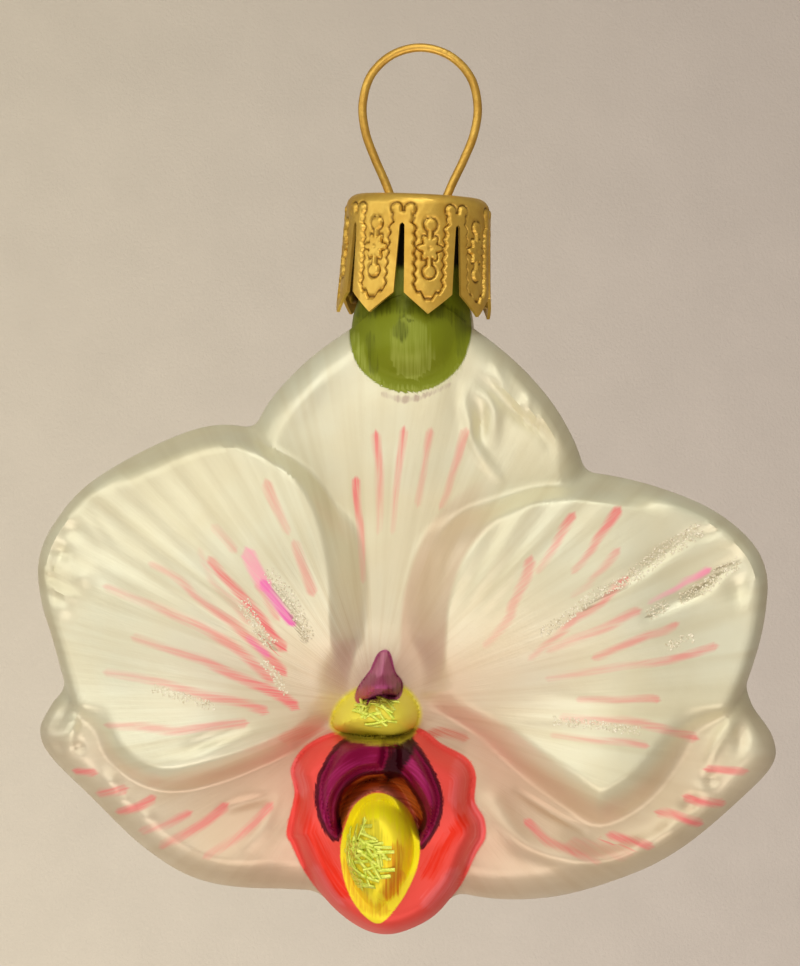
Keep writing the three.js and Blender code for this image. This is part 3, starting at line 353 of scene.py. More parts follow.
    # Painted shade: a darker olive band along the underside of the column
    "column_dark": [([(-3.8, -2.7), (-1.7, -3), (0.9, -2.9), (2.4, -2.4)], 0.32, 0.7, 0.85)],
    # Dark olive on the bulb: the band across its top is a painted shadow under the cap, the streaks down its
    # left and right sides are painted shade, and the short middle stroke is a dark spot of paint
    "bulb_streak": [
        ([(-1.3, 31.6), (-1.2, 30.3), (-1, 28.6)], 0.4, 0.5, 0.7),
        ([(6.3, 33), (6.6, 31.6), (6.5, 30.1)], 0.5, 0.5, 0.6),
        ([(1.3, 32.4), (1.4, 31.6)], 0.6, 0.8, 0.9),
        ([(-1.9, 33.6), (0.4, 34.1), (4.5, 33.8), (6.4, 33)], 0.6, 0.7, 0.7)],
    # Painted highlight: paler green on the bulb's middle, its lower rim, its left edge and its top
    "bulb_light": [
        ([(2, 32.2), (2.4, 28.8)], 1.9, 0.3, 0.5),
        ([(-2.6, 31.7), (-2.3, 30.3), (-1.6, 28.7), (-0.6, 27.5)], 0.35, 0.5, 0.6),
        ([(-0.2, 27.1), (1.5, 26.9), (3.9, 27), (5.6, 27.8), (6.5, 28.9)], 0.3, 0.5, 0.6),
        ([(1.4, 36.7), (1.5, 35.4), (1.7, 34.4)], 0.8, 0.8, 0.4)],
}
# Strokes of clear size that hold glitter: points, half width
SILVER_STROKES = [
    ([(-10.1, 11.5), (-9, 10.2), (-7.9, 8.7), (-7.1, 6.9), (-6.5, 5.5)], 0.45),
    ([(-12.2, 8.9), (-11.3, 7.2), (-10.4, 5.8), (-9.5, 5)], 0.4),
    ([(-10.4, 3.7), (-9.3, 2.3), (-8.6, 0.7)], 0.3),
    ([(-20, 1.4), (-16.6, 0.4), (-14.5, -0.3)], 0.3),
    ([(21.4, 11.4), (20.6, 10.6), (18.5, 9.7), (16.9, 8.6), (16, 7.9), (14.5, 6.8), (13.2, 6)], 0.34),
    ([(27.1, 15), (26, 14.4), (24.8, 13.6), (23.8, 13.2), (22.8, 12.2), (21.8, 11.5), (21, 10.8)], 0.5),
    ([(30.4, 12.3), (29.6, 11.7), (28.6, 11.2), (27.8, 10.3), (26.9, 9.8), (25.2, 9)], 0.42),
    ([(24.2, 8.7), (23.5, 8.2), (22.5, 7.6)], 0.36),
    ([(26.4, 5.7), (25.2, 5.4), (24.1, 4.9)], 0.3),
    ([(14.3, -1.4), (17.7, -1.7), (21.8, -2.3)], 0.3),
]


# Small maths

def round_edge(s):
    """Rises round and steep from 0 and levels off at 1, like a quarter circle."""
    return np.sqrt(1 - (1 - np.clip(s, 0, 1)) ** 2)


def crisp_edge(s):
    """Rises nearly straight from 0 and ends in a ridge at 1."""
    return 1 - (1 - np.clip(s, 0, 1)) ** 1.4


def fade(value, start, full):
    """0 up to start and 1 from full on, with no corner between."""
    t = np.clip((value - start) / (full - start), 0, 1)
    return t * t * (3 - 2 * t)


def soft_patch(p, centre, radii):
    return np.exp(-(((p - np.array(centre)) / radii) ** 2).sum(1))


def blend_max(a, b, width):
    near = np.clip(width - np.abs(a - b), 0, None) / width
    return np.maximum(a, b) + near * near * width / 4


def spline(points, steps, closed):
    """A smooth curve through the points."""
    p = np.array(points, float)
    count = len(p)
    t = (np.arange(steps) / steps)[:, None]
    rows = []
    for i in range(count if closed else count - 1):
        at = (lambda k: p[k % count]) if closed else (lambda k: p[min(max(k, 0), count - 1)])
        a, b, c, d = at(i - 1), at(i), at(i + 1), at(i + 2)
        rows.append(0.5 * (2 * b + (c - a) * t + (2 * a - 5 * b + 4 * c - d) * t**2
                           + (3 * b - a - 3 * c + d) * t**3))
    if not closed:
        rows.append(p[-1:])
    return np.concatenate(rows)


def inside_distance(p, curve, chunk=20000):
    """Distance of each point to a closed curve, positive inside it."""
    ends = np.roll(curve, -1, axis=0)
    run = ends - curve
    length2 = (run**2).sum(1)
    result = np.empty(len(p))
    for start in range(0, len(p), chunk):
        q = p[start:start + chunk, None, :]
        along = np.clip(((q - curve) * run).sum(2) / length2, 0, 1)
        nearest = np.sqrt(((q - curve - along[..., None] * run) ** 2).sum(2).min(1))
        spans = (curve[:, 1] > q[..., 1]) != (ends[:, 1] > q[..., 1])
        rise = np.where(run[:, 1] == 0, 1e-12, run[:, 1])
        crossing = spans & (q[..., 0] < run[:, 0] * (q[..., 1] - curve[:, 1]) / rise + curve[:, 0])
        result[start:start + chunk] = np.where(crossing.sum(1) % 2 == 1, nearest, -nearest)
    return result


def across_line(p, line):
    """How far beside a line each point lies, how far past its ends, and its place along it, 0 to 1."""
    lengths = np.hypot(*np.diff(line, axis=0).T)
    total = lengths.sum()
    nearest = np.full(len(p), 1e9)
    across, beyond, place = np.zeros((3, len(p)))
    before = 0.0
    for step, (a, b, length) in enumerate(zip(line[:-1], line[1:], lengths)):
        heading = (b - a) / length
        run = (p - a) @ heading
        side = (p - a) @ np.array([-heading[1], heading[0]])
        k = np.clip(run, 0, length)
        distance = np.hypot(side, run - k)
        open_end = (run < 0) & (step == 0) | (run > length) & (step == len(lengths) - 1)
        closer = distance < nearest
        nearest = np.where(closer, distance, nearest)
        across = np.where(closer, np.where(open_end, side, np.copysign(distance, side)), across)
        beyond = np.where(closer, np.where(open_end, np.abs(run - k), 0), beyond)
        place = np.where(closer, (before + k) / total, place)
        before += length
    return across, beyond, place


def near_line(p, line, margin):
    """Which points lie in the line's bounding rectangle, widened by a margin."""
    return ((p > line.min(0) - margin) & (p < line.max(0) + margin)).all(1)


CURVE_STEPS = 8
for form in [*MAIN_FORMS.values(), THROAT, *RAISED_FORMS.values()]:
    form["curve"] = spline(form["outline"], CURVE_STEPS, closed=True)


# Heights of the bloom

def face_height(p, form):
    spots = np.array(form["spots"], float)
    distance2 = ((p[:, None, :] - spots[:, :2]) ** 2).sum(2)
    weight = np.exp(-distance2 / (2 * form["spread"] ** 2)) + 1e-9
    return (weight * spots[:, 2]).sum(1) / weight.sum(1)


def flute_wave(p, base, pitch, start, full, depth, sector):
    away = p - np.array(base)
    angle = np.degrees(np.arctan2(away[:, 1], away[:, 0]))
    wave = sum(share * np.cos(2 * np.pi * angle / (pitch * stretch) + phase)
               for share, stretch, phase in FLUTE_WAVES)
    first, last = SECTOR_FADES
    within = fade(angle, sector[0], sector[0] + first) * fade(angle, sector[1], sector[1] - last)
    return depth * fade(np.hypot(*away.T), start, full) * within * wave


def beside_dorsal(p):
    """1 where the petals' walls run beside the dorsal sepal, fading out above and below."""
    return (fade(np.abs(p[:, 0]), *DORSAL_REACH["out"]) * fade(p[:, 1], *DORSAL_REACH["foot"])
            * fade(p[:, 1], *DORSAL_REACH["top"]))


def form_height(p, name, form, inside):
    face = face_height(p, form)
    width = form["edge"]
    if name not in FLUTES:
        return face * round_edge(inside / width) ** form["power"]
    out, up = np.abs(p[:, 0]), p[:, 1]
    width = width + (form["top_edge"] - width) * fade(up, *TOP_EDGE_REACH)
    width = width + (form["outer_edge"] - width) * fade(out, *OUTER_EDGE_REACH)
    share = round_edge(inside / width) ** form["power"]
    wall, outside = form["inner_wall"]
    above = fade(up, *TOP_WALL_REACH["up"]) * fade(out, *TOP_WALL_REACH["out"])
    for rise, where in ((inside / form["low_edge"], fade(up, *LOW_EDGE_REACH)),
                        (inside / form["top_wall"], above), ((inside + outside) / wall, beside_dorsal(p))):
        share = share + (crisp_edge(rise) - share) * where
    return (face + flute_wave(p, **FLUTES[name])) * share


def form_distances(p):
    return {name: inside_distance(p, form["curve"]) for name, form in MAIN_FORMS.items()}


def plan_of(inside):
    """How far inside the silhouette each point lies, from its distances to the main forms."""
    return reduce(lambda a, b: blend_max(a, b, PLAN_BLEND), inside.values())


def pressed_relief(p):
    """Height of the ridges, furrows and dimples at each point."""
    relief = np.zeros(len(p))
    for points, half_width, rise in CREASES:
        line = spline(points, 4, closed=False)
        rows = np.flatnonzero(near_line(p, line, 3 * half_width))
        across, beyond, place = across_line(p[rows], line)
        swell = np.sin(np.pi * (0.1 + 0.8 * place))
        relief[rows] += rise * swell * np.exp(-(across**2 + beyond**2) / half_width**2)
    for centre, radius, rise in DIMPLES:
        relief += rise * soft_patch(p, centre, radius)
    return relief


def front_height(p):
    inside = form_distances(p)
    plan = plan_of(inside)
    height = FRONT_WEB["height"] * round_edge(plan / FRONT_WEB["edge"])
    for name, form in MAIN_FORMS.items():
        if name == "lip":
            height = height + pressed_relief(p) * fade(plan, *PRESSED_REACH)
        height = blend_max(height, form_height(p, name, form, inside[name]), form["blend"])
    height = height - THROAT["depth"] * fade(inside_distance(p, THROAT["curve"]), 0, THROAT["edge"])
    for name, form in RAISED_FORMS.items():
        distance = inside_distance(p, form["curve"])
        lifted = blend_max(height, form_height(p, name, form, distance), form["blend"])
        height = np.where(distance > -RAISED_MARGIN, lifted, height)
    return height


def back_height(p):
    inside = form_distances(p)
    top = BACK["height"] + BACK["heart_height"] * soft_patch(p, BACK["heart"], BACK["heart_spread"])
    height = BACK_WEB["height"] * round_edge(plan_of(inside) / BACK_WEB["edge"])
    for distance in inside.values():
        height = blend_max(height, top * round_edge(distance / BACK["edge"]) ** BACK["power"], BACK["blend"])
    return height


def on_plan(p, height):
    """Millimetres over the plan to metres in the frame, the front towards -Y."""
    return np.stack([HEART[0] + p[:, 0], -height, HEART[1] + p[:, 1]], 1) * MM


def on_neck_axis(points):
    """Millimetres along the neck's own axis to metres in the frame."""
    p = np.asarray(points, float)
    c, s = math.cos(NECK_LEAN), math.sin(NECK_LEAN)
    return np.stack([p[:, 0] * c + p[:, 2] * s + NECK_OFFSET, p[:, 1], -p[:, 0] * s + p[:, 2] * c], 1) * MM


# Objects and meshes

def new_object(name, vertices, faces=(), edges=(), material=None):
    mesh = bpy.data.meshes.new(name)
    mesh.from_pydata([tuple(map(float, v)) for v in vertices], edges, faces)
    mesh.validate()
    if material:
        mesh.materials.append(material)
    mesh.polygons.foreach_set("use_smooth", [True] * len(mesh.polygons))
    mesh.update()
    obj = bpy.data.objects.new(name, mesh)
    bpy.context.scene.collection.objects.link(obj)
    return obj


def grid_faces(rows, columns, start=0, closed=False, mirrored=False):
    """Faces between rows of vertices that are equally long. A closed row joins its own ends."""
    faces = []
    for row in range(start, start + (rows - 1) * columns, columns):
        for i in range(columns if closed else columns - 1):
            a, b = row + i, row + (i + 1) % columns
            c, d = b + columns, a + columns
            faces.append((a, d, c, b) if mirrored else (a, b, c, d))
    return faces


def vertex_points(mesh):
    points = np.empty(len(mesh.vertices) * 3)
    mesh.vertices.foreach_get("co", points)
    return points.reshape(-1, 3)


def add_field(mesh, name, values, kind="FLOAT", key="value"):
    mesh.attributes.new(name, kind, "POINT").data.foreach_set(key, values)


def shade_smooth(mesh, corner):
    """Smooth shading, apart from edges that turn by more degrees than the corner."""
    mesh.polygons.foreach_set("use_smooth", [True] * len(mesh.polygons))
    mesh.set_sharp_from_angle(angle=math.radians(corner))


def bake_modifiers(obj):
    """Turns the object with its modifiers into a plain mesh."""
    depsgraph = bpy.context.evaluated_depsgraph_get()
    mesh = bpy.data.meshes.new_from_object(obj.evaluated_get(depsgraph), depsgraph=depsgraph)
    obj.modifiers.clear()
    old = obj.data
    obj.data = mesh
    bpy.data.meshes.remove(old)
    mesh.name = obj.name


def combine(obj, other, operation):
    modifier = obj.modifiers.new(operation.lower(), "BOOLEAN")
    modifier.operation = operation
    modifier.solver = "MANIFOLD"
    modifier.object = other
    bake_modifiers(obj)
    bpy.data.objects.remove(other)


def turned(name, profile, segments, offset=0.0):
    """A closed solid turned about the neck's axis, or beside it, from [radius, height] points that run up."""
    angles = np.arange(segments) * 2 * np.pi / segments
    rings = [[(offset + r * math.cos(a), r * math.sin(a), z) for a in angles] for r, z in profile if r > 0]
    vertices = [point for ring in rings for point in ring]
    low = len(vertices)
    vertices += [(offset, 0, profile[0][1]), (offset, 0, profile[-1][1])]
    faces = grid_faces(len(rings), segments, closed=True)
    for i in range(segments):
        j = (i + 1) % segments
        faces += [(low, j, i), (low + 1, low - segments + i, low - segments + j)]
    return new_object(name, on_neck_axis(vertices), faces)


def place_by_frame(piece, node):
    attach(piece, "root")
    if node:
        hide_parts(node)


# Node trees

def add_node(tree, kind, inputs=None, **settings):
    """A new node. Inputs that are given are linked to another node's output, or set to a value."""
    node = tree.nodes.new(kind)
    for key, value in settings.items():
        setattr(node, key, value)
    for label, value in (inputs or {}).items():
        if isinstance(value, bpy.types.NodeSocket):
            tree.links.new(value, node.inputs[label])
        else:
            node.inputs[label].default_value = value
    return node


def connect(tree, *pairs):
    for output, socket in pairs:
        tree.links.new(output, socket)


def new_tree(name, kind, inputs, outputs):
    """An empty node tree with its named sockets, and these sockets as they are seen inside it."""
    tree = bpy.data.node_groups.new(name, kind)
    for side, sockets in (("INPUT", inputs), ("OUTPUT", outputs)):
        for label, socket in sockets.items():
            tree.interface.new_socket(label, in_out=side, socket_type="NodeSocket" + socket)
    return tree, add_node(tree, "NodeGroupInput").outputs, add_node(tree, "NodeGroupOutput").inputs


def geometry_tree(name, inputs):
    return new_tree(name, "GeometryNodeTree", {"Geometry": "Geometry", **inputs}, {"Geometry": "Geometry"})


def put_out(tree, result, geometry, material, weld=None):
    """Puts the geometry out in its material, with vertices welded that lie closer than weld."""
    if weld:
        merge = add_node(tree, "GeometryNodeMergeByDistance", {"Geometry": geometry, "Distance": weld})
        geometry = merge.outputs[0]
    finish = add_node(tree, "GeometryNodeSetMaterial", {"Geometry": geometry, "Material": material})
    connect(tree, (finish.outputs[0], result["Geometry"]))


def run_tree(obj, tree, values):
    """Runs a geometry node tree on the object and keeps the result as its plain mesh."""
    modifier = obj.modifiers.new(tree.name, "NODES")
    modifier.node_group = tree
    identifiers = {item.name: item.identifier for item in tree.interface.items_tree
                   if item.in_out == "INPUT"}
    for label, value in values.items():
        modifier[identifiers[label]] = value
    bake_modifiers(obj)


def calculate(tree, operation, a, b=0.5, clamp=False):
    return add_node(tree, "ShaderNodeMath", {0: a, 1: b}, operation=operation, use_clamp=clamp).outputs[0]


def times(tree, a, b, clamp=False):
    return calculate(tree, "MULTIPLY", a, b, clamp)


def mixed(tree, factor, a, b):
    return add_node(tree, "ShaderNodeMix", {"Factor": factor, 6: a, 7: b}, data_type="RGBA").outputs[2]


def ranged(tree, value, low, high, to_low=0.0, to_high=1.0, kind="LINEAR"):
    inputs = {"Value": value, "From Min": low, "From Max": high, "To Min": to_low, "To Max": to_high}
    return add_node(tree, "ShaderNodeMapRange", inputs, interpolation_type=kind).outputs[0]


def faded(tree, value, start, full):
    """0 below start, 1 above full, with no corner between."""
    return ranged(tree, value, start, full, kind="SMOOTHSTEP")


def coordinates(tree, kind="Object"):
    return add_node(tree, "ShaderNodeTexCoord").outputs[kind]


def parts_of(tree, vector):
    return add_node(tree, "ShaderNodeSeparateXYZ", {0: vector}).outputs


def attribute(tree, name, output="Fac"):
    return add_node(tree, "ShaderNodeAttribute", attribute_name=name).outputs[output]


def noise(tree, place, scale, detail):
    """Noise over a place; in Object coordinates the scale is in cycles for each metre."""
    inputs = {"Vector": place, "Scale": scale, "Detail": detail}
    return add_node(tree, "ShaderNodeTexNoise", inputs).outputs["Fac"]


def bump(tree, height, distance):
    return add_node(tree, "ShaderNodeBump", {"Height": height, "Distance": distance}).outputs["Normal"]


def use_group(tree, group, **values):
    return add_node(tree, "ShaderNodeGroup", values, node_tree=group).outputs


def swept(tree, line, section):
    """The section swept along the line, with closed ends."""
    inputs = {"Curve": line.outputs[0], "Profile Curve": section.outputs[0], "Fill Caps": True}
    return add_node(tree, "GeometryNodeCurveToMesh", inputs).outputs[0]


def mottle_group():
    """Soft blotches of two colours, with a roughness and a height that follow them."""
    name = "Mottled finish"
    if name in bpy.data.node_groups:
        return bpy.data.node_groups[name]
    tree, source, result = new_tree(
        name, "ShaderNodeTree",
        {"Light": "Color", "Dark": "Color", "Scale": "Float", "Smooth": "Float", "Rough": "Float"},
        {"Color": "Color", "Roughness": "Float", "Height": "Float"})
    place = coordinates(tree)
    patches = ranged(tree, noise(tree, place, source["Scale"], 3.0), 0.35, 0.65)
    grain = ranged(tree, noise(tree, place, times(tree, source["Scale"], 4.0), 4.0), 0.3, 0.7)
    share = calculate(tree, "ADD", times(tree, patches, 0.65), times(tree, grain, 0.35))
    connect(tree, (mixed(tree, share, source["Dark"], source["Light"]), result["Color"]),
            (ranged(tree, share, 0.0, 1.0, source["Rough"], source["Smooth"]), result["Roughness"]),
            (grain, result["Height"]))
    return tree


def mottled_material(name, light, dark, scale, smooth, rough, metal=0.0):
    """A material with the mottled finish, and its tree, its shader's inputs and the finish's outputs."""
    material = bpy.data.materials.new(name)
    material.use_nodes = True
    tree = material.node_tree
    inputs = tree.nodes["Principled BSDF"].inputs
    finish = use_group(tree, mottle_group(), Light=tuple(light), Dark=tuple(dark), Scale=scale,
                       Smooth=smooth, Rough=rough)
    inputs["Metallic"].default_value = metal
    connect(tree, (finish["Color"], inputs["Base Color"]), (finish["Roughness"], inputs["Roughness"]))
    return material, tree, inputs, finish


# Settings

def colour(name, description, default):
    return FloatVectorProperty(name=name, description=description, default=default, size=4, subtype="COLOR",
                               min=0.0, max=1.0)


def length(name, description, default):
    return FloatProperty(name=name, description=description, default=default, unit="LENGTH", min=0.0)


# How each paint is laid, in this order: what it is, its colour as it looks on a screen, and its kind,
# softness, raggedness and dryness. A wash's field is its strength, an area's is the distance inside its
# outline, a rim is a line along an area's outline, and a coat's field holds brush strokes. A rim or a coat
# whose name starts with an area's name belongs to that area.
PAINTS = {
    # Blush: beige airbrush with painted shade, laid thickest in the hollows of the lower walls, on the right
    # petal's wall beside the dorsal sepal and in the hollow round the heart
    "blush": ("Airbrushed beige on the petals' lower walls", (204, 170, 145), "wash", 0, 0, 0),
    # Rosy: rose airbrush round the heart, with painted shade where it is laid in the hollows of the low walls
    "rosy": ("Airbrushed rose round the heart", (206, 156, 136), "wash", 0, 0, 0),
    "smudge": ("Grey purple edge under the bulb", (150, 112, 108), "coat", 0.3, 0.12, 0.6),
    "coral_between": ("Brush strokes of every second vein", (235, 114, 120), "coat", 0.55, 0.08, 0.4),
    "coral": ("Brush strokes of the other veins", (235, 114, 120), "coat", 0.48, 0.08, 0.35),
    "rose": ("Pale pink strokes beside the coral ones", (250, 160, 190), "coat", 0.45, 0.08, 0.25),
    "magenta": ("Wide strokes beside the heart", (240, 110, 188), "coat", 0.4, 0.08, 0.2),
    # Size: grey olive painted shade in the furrows and along the glitter lines
    "size": ("Grey olive shade of the dried size under the glitter", (150, 138, 108), "coat", 0.3, 0.3, 0.7),
    "smear": ("Brown red smears above the lip", (212, 112, 94), "coat", 0.5, 0.15, 0.5),
    "lip": ("Coral red of the lip", (234, 82, 74), "area", 0.14, 0.12, 0),
    # Thin pink on the lip's ruffles, partly painted highlight
    "lip_light": ("Thin pink paint on the lip's ruffles", (242, 128, 132), "coat", 0.7, 0.3, 0.5),
    "lip_deep": ("Second coat of red in the lip's hollows", (232, 48, 26), "coat", 0.7, 0.3, 0.35),
    "throat": ("Dark red deep in the throat", (140, 26, 12), "area", 0.2, 0.08, 0),
    "throat_orange": ("Orange brown round the tongue", (232, 130, 50), "coat", 0.35, 0.15, 0.45),
    "throat_pink": ("Salmon line against the tongue", (236, 140, 110), "coat", 0.22, 0.1, 0.4),
    "crescent": ("Purple of the lip's side lobes", (128, 8, 58), "area", 0.1, 0.07, 0),
    "crescent_light": ("Thin purple down the side lobes", (164, 36, 100), "coat", 0.5, 0.25, 0.7),
    "crescent_line": ("Dark outline of the side lobes", (78, 2, 26), "rim", 0.16, 0.1, 0.1),
    # Cleft shade: near-black painted shade in the cleft between the side lobes
    "gap": ("Dark cleft between the side lobes", (48, 2, 14), "coat", 0.5, 0.2, 0),
    "tongue": ("Mustard yellow of the lip's tongue", (252, 234, 54), "area", 0.14, 0.08, 0),
    "tongue_olive": ("Thin paint down the tongue's middle", (186, 174, 38), "coat", 0.8, 0.3, 0.4),
    "tongue_ochre": ("Orange glaze low on the tongue", (220, 138, 32), "coat", 0.6, 0.3, 0.5),
    "tongue_lemon": ("Clear yellow round the tongue's edge", (255, 246, 26), "coat", 0.4, 0.25, 0.45),
    "column": ("Olive yellow of the column", (234, 222, 80), "area", 0.5, 0.15, 0),
    # Painted shade along the underside of the column
    "column_dark": ("Olive edge under the column", (138, 126, 34), "coat", 0.35, 0.12, 0.3),
    "anther": ("Mauve of the anther cap", (166, 76, 118), "area", 0.1, 0.06, 0),
    "anther_band": ("Dark mauve across the anther cap", (124, 46, 68), "coat", 0.35, 0.15, 0.4),
    "anther_light": ("Thin mauve down the anther cap", (208, 132, 168), "coat", 0.25, 0.1, 0.4),
    "anther_red": ("Red brown foot of the anther cap", (176, 72, 38), "coat", 0.4, 0.15, 0.3),
    "anther_maroon": ("Maroon notch of the anther cap", (92, 18, 24), "coat", 0.4, 0.15, 0.2),
    "bulb": ("Green of the neck's bulb", (122, 132, 28), "area", 0.14, 0.12, 0),
    # Painted highlight on the bulb
    "bulb_light": ("Thin paint on the bulb", (166, 176, 84), "coat", 0.6, 0.3, 0.6),
    # Dark olive streaks and a spot, with a painted shadow under the cap and painted shade down the bulb's
    # sides
    "bulb_streak": ("Olive streaks down the bulb", (84, 92, 20), "coat", 0.5, 0.25, 0.6),
    # Neck: the neck above the bulb is bare glass, and its near-black colour is painted shade inside the cap
    "neck": ("Bare dark glass of the neck inside the cap", (34, 32, 14), "area", 0.8, 0.3, 0),
}


class BloomSettings(bpy.types.PropertyGroup):
    around: IntProperty(name="Facets around", description="Facets of the bloom's net around its middle",
                        default=600, min=24)
    near_step: length("Near ring step", "Spacing of the net's rings close to the lip", 0.22 * MM)
    far_step: length("Far ring step", "Spacing of the net's rings out to the rim", 0.38 * MM)
    back_step: length("Back ring step", "Spacing of the net's rings on the back", 2.2 * MM)
    pearl: colour("Pearl", "Pearl lacquer of the petals", paint(230, 231, 207))
    pearl_shade: colour("Pearl shade", "Thinner, warmer lacquer", paint(226, 220, 188))
    pearl_ray: colour("Pearl ray", "Thin lacquer in faint rays along the petals", paint(210, 202, 168))


for key, (description, shade, *_) in PAINTS.items():
    label = key.replace("_", " ").capitalize()
    BloomSettings.__annotations__[key] = colour(label, description, paint(*shade))


class CapSettings(bpy.types.PropertyGroup):
    tabs: IntProperty(name="Tabs", description="Pointed tabs round the cap", default=8, min=3)
    top_radius: length("Top radius", "Radius of the flat top", 5.1 * MM)
    skirt_radius: length("Skirt radius", "Radius under the shoulder", 6.2 * MM)
    foot_radius: length("Foot radius", "Radius at the tips of the tabs", 6.6 * MM)
    sheet: length("Sheet", "Thickness of the stamped sheet", 0.28 * MM)
    emboss: length("Emboss", "Height of the stamped pattern", 0.18 * MM)
    gold: colour("Gold", "Bright stamped metal", paint(228, 190, 86))
    gold_dark: colour("Dark gold", "Metal in the hollows of the pattern", paint(210, 166, 66))


class WireSettings(bpy.types.PropertyGroup):
    radius: length("Radius", "Radius of the wire", 0.375 * MM)
    gold: colour("Gold", "Bright side of the wire", paint(224, 184, 86))
    gold_dark: colour("Dark gold", "Dull side of the wire", paint(200, 154, 64))


class TinselSettings(bpy.types.PropertyGroup):
    fibre_length: length("Fibre length", "Longest fibre", 1.9 * MM)
    fibre_width: length("Fibre width", "Width of the cut film", 0.32 * MM)
    density: FloatProperty(name="Density", description="Fibres for each square metre", default=2.4e6, min=0.0)
    seed: IntProperty(name="Seed", description="Start of the random draw", default=4, min=0)
    green: colour("Green", "Yellow green film", paint(196, 216, 44))
    yellow: colour("Yellow", "Film where it catches the light", paint(244, 250, 120))


class GlitterSettings(bpy.types.PropertyGroup):
    grain: length("Grain", "Width of a grain", 0.2 * MM)
    density: FloatProperty(name="Density", description="Grains for each square metre", default=2.4e7, min=0.0)
    seed: IntProperty(name="Seed", description="Start of the random draw", default=9, min=0)
    # Silver and grain shade are lit and shaded copies of the grains' colour, mixed in random patches: painted
    # highlight and painted shade
    silver: colour("Silver", "Bright side of a grain", paint(255, 251, 234))
    grey: colour("Grey", "Dull side of a grain", paint(206, 196, 162))


class StageSettings(bpy.types.PropertyGroup):
    floor_drop: length("Floor drop", "Floor under the hanging point", 700 * MM)
    wall_distance: length("Wall distance", "Backdrop behind the ornament", 1400 * MM)
    camera_distance: length("Camera distance", "Camera in front of the ornament", 450 * MM)
    # The warm and cool tints paint the light's warmth on the floor and backdrop, warmer on the left
    floor_warm: colour("Warm floor", "Pale floor and backdrop on the left", paint(196, 187, 172))
    floor_cool: colour("Cool floor", "Pale floor and backdrop on the right", paint(190, 180, 172))
    light_above: colour("Light from above", "Light of the room's ceiling", paint(214, 208, 190))
    light_round: colour("Light from round about", "Light of the room's walls", paint(180, 168, 152))
    room_strength: FloatProperty(name="Room light", description="Strength of the light all round",
                                 default=0.6, min=0.0)
    light_below: colour("Light from below", "Light thrown back by the table", paint(176, 142, 126))


# The blown glass

NET_CENTRE = np.array([-0.3, -4.2])
RIM_INSETS = [2.8, 2.3, 1.85, 1.45, 1.1, 0.8, 0.55, 0.35, 0.2, 0.08]
NEAR_REACH = 8.0
SEARCH_START = 46.0
NECK_PROFILE = [(1.2, -29.5), (2.4, -29.1), (3.5, -28.3), (4.4, -27.3), (5.0, -26.2), (5.3, -25.0),
                (5.3, -23.8), (5.1, -22.6), (4.7, -21.4), (4.3, -20.2), (4.1, -19.0), (4.1, -16.0),
                (4.1, -13.5), (3.9, NECK_MOUTH_Z)]
BULB_BOTTOM_Z = -29.6
NECK_FOOT_V = 35.5
# Where the neck's painted shade inside the cap begins
NECK_SHADE_V = 37.6
BORE_RADIUS = 3.5
BORE_FOOT_Z = -26.0
FRONT_LIMIT = 0.4 * MM
STROKE_MARGIN = 1.4
STROKE_FADE = 0.35
OWNER_REACH = (-0.15, 0.15)
RIM_LINE_WIDTH = 0.17
BRISTLE_SCALE = {"Fine": 5.0, "Long": 0.25}
RAY_SCALE = {"Fine": 1.1, "Long": 0.04}
PEARL_METAL = 0.32
PAINT_METAL = 0.15
# Airbrushed washes with painted shade in them, as reaches (start, full) and soft patches (centre, radii)
HOLLOW_REACH = (0.3, 2.7)
LOW_REACH = (2, -4)
WALL_START = 0.35
WALL_FADE = 0.5
BLUSH_SHADE_PATCH = ((0, -2), (17, 15.45))
HEART_SHADE_PATCH = ((1.5, 1.5), (8, 3.6))
ROSY_PATCH = ((0, -2), (7, 6.36))
LOW_ROSY_SHADE_PATCH = ((0, -2), (12, 10.91))
VEIL_PATCH = ((12, 3), (7, 5))


def rim_radii(angles):
    """Radius of the silhouette for each direction from the net's centre."""
    heading = np.stack([np.cos(angles), np.sin(angles)], 1)

    def depth(radius):
        return plan_of(form_distances(NET_CENTRE + heading * radius[:, None]))

    radius = np.full(len(angles), SEARCH_START)
    outside = np.ones(len(angles), bool)
    while outside.any():
        outside = depth(radius) < 0
        radius = np.where(outside, radius - 0.5, radius)
    low, high = radius, radius + 0.5
    for _ in range(10):
        middle = (low + high) / 2
        inside = depth(middle) > 0
        low, high = np.where(inside, middle, low), np.where(inside, high, middle)
    return low


def ring_levels(rims, near_step, far_step, insets):
    near = [np.full(len(rims), near_step * (k + 1)) for k in range(int(NEAR_REACH / near_step))]
    last = near[-1][0]
    count = math.ceil((rims.max() - insets[0] - last) / far_step)
    span = rims - insets[0] - last
    far = [last + span * (k + 1) / (count + 1) for k in range(count)]
    return near + far + [rims - inset for inset in insets]


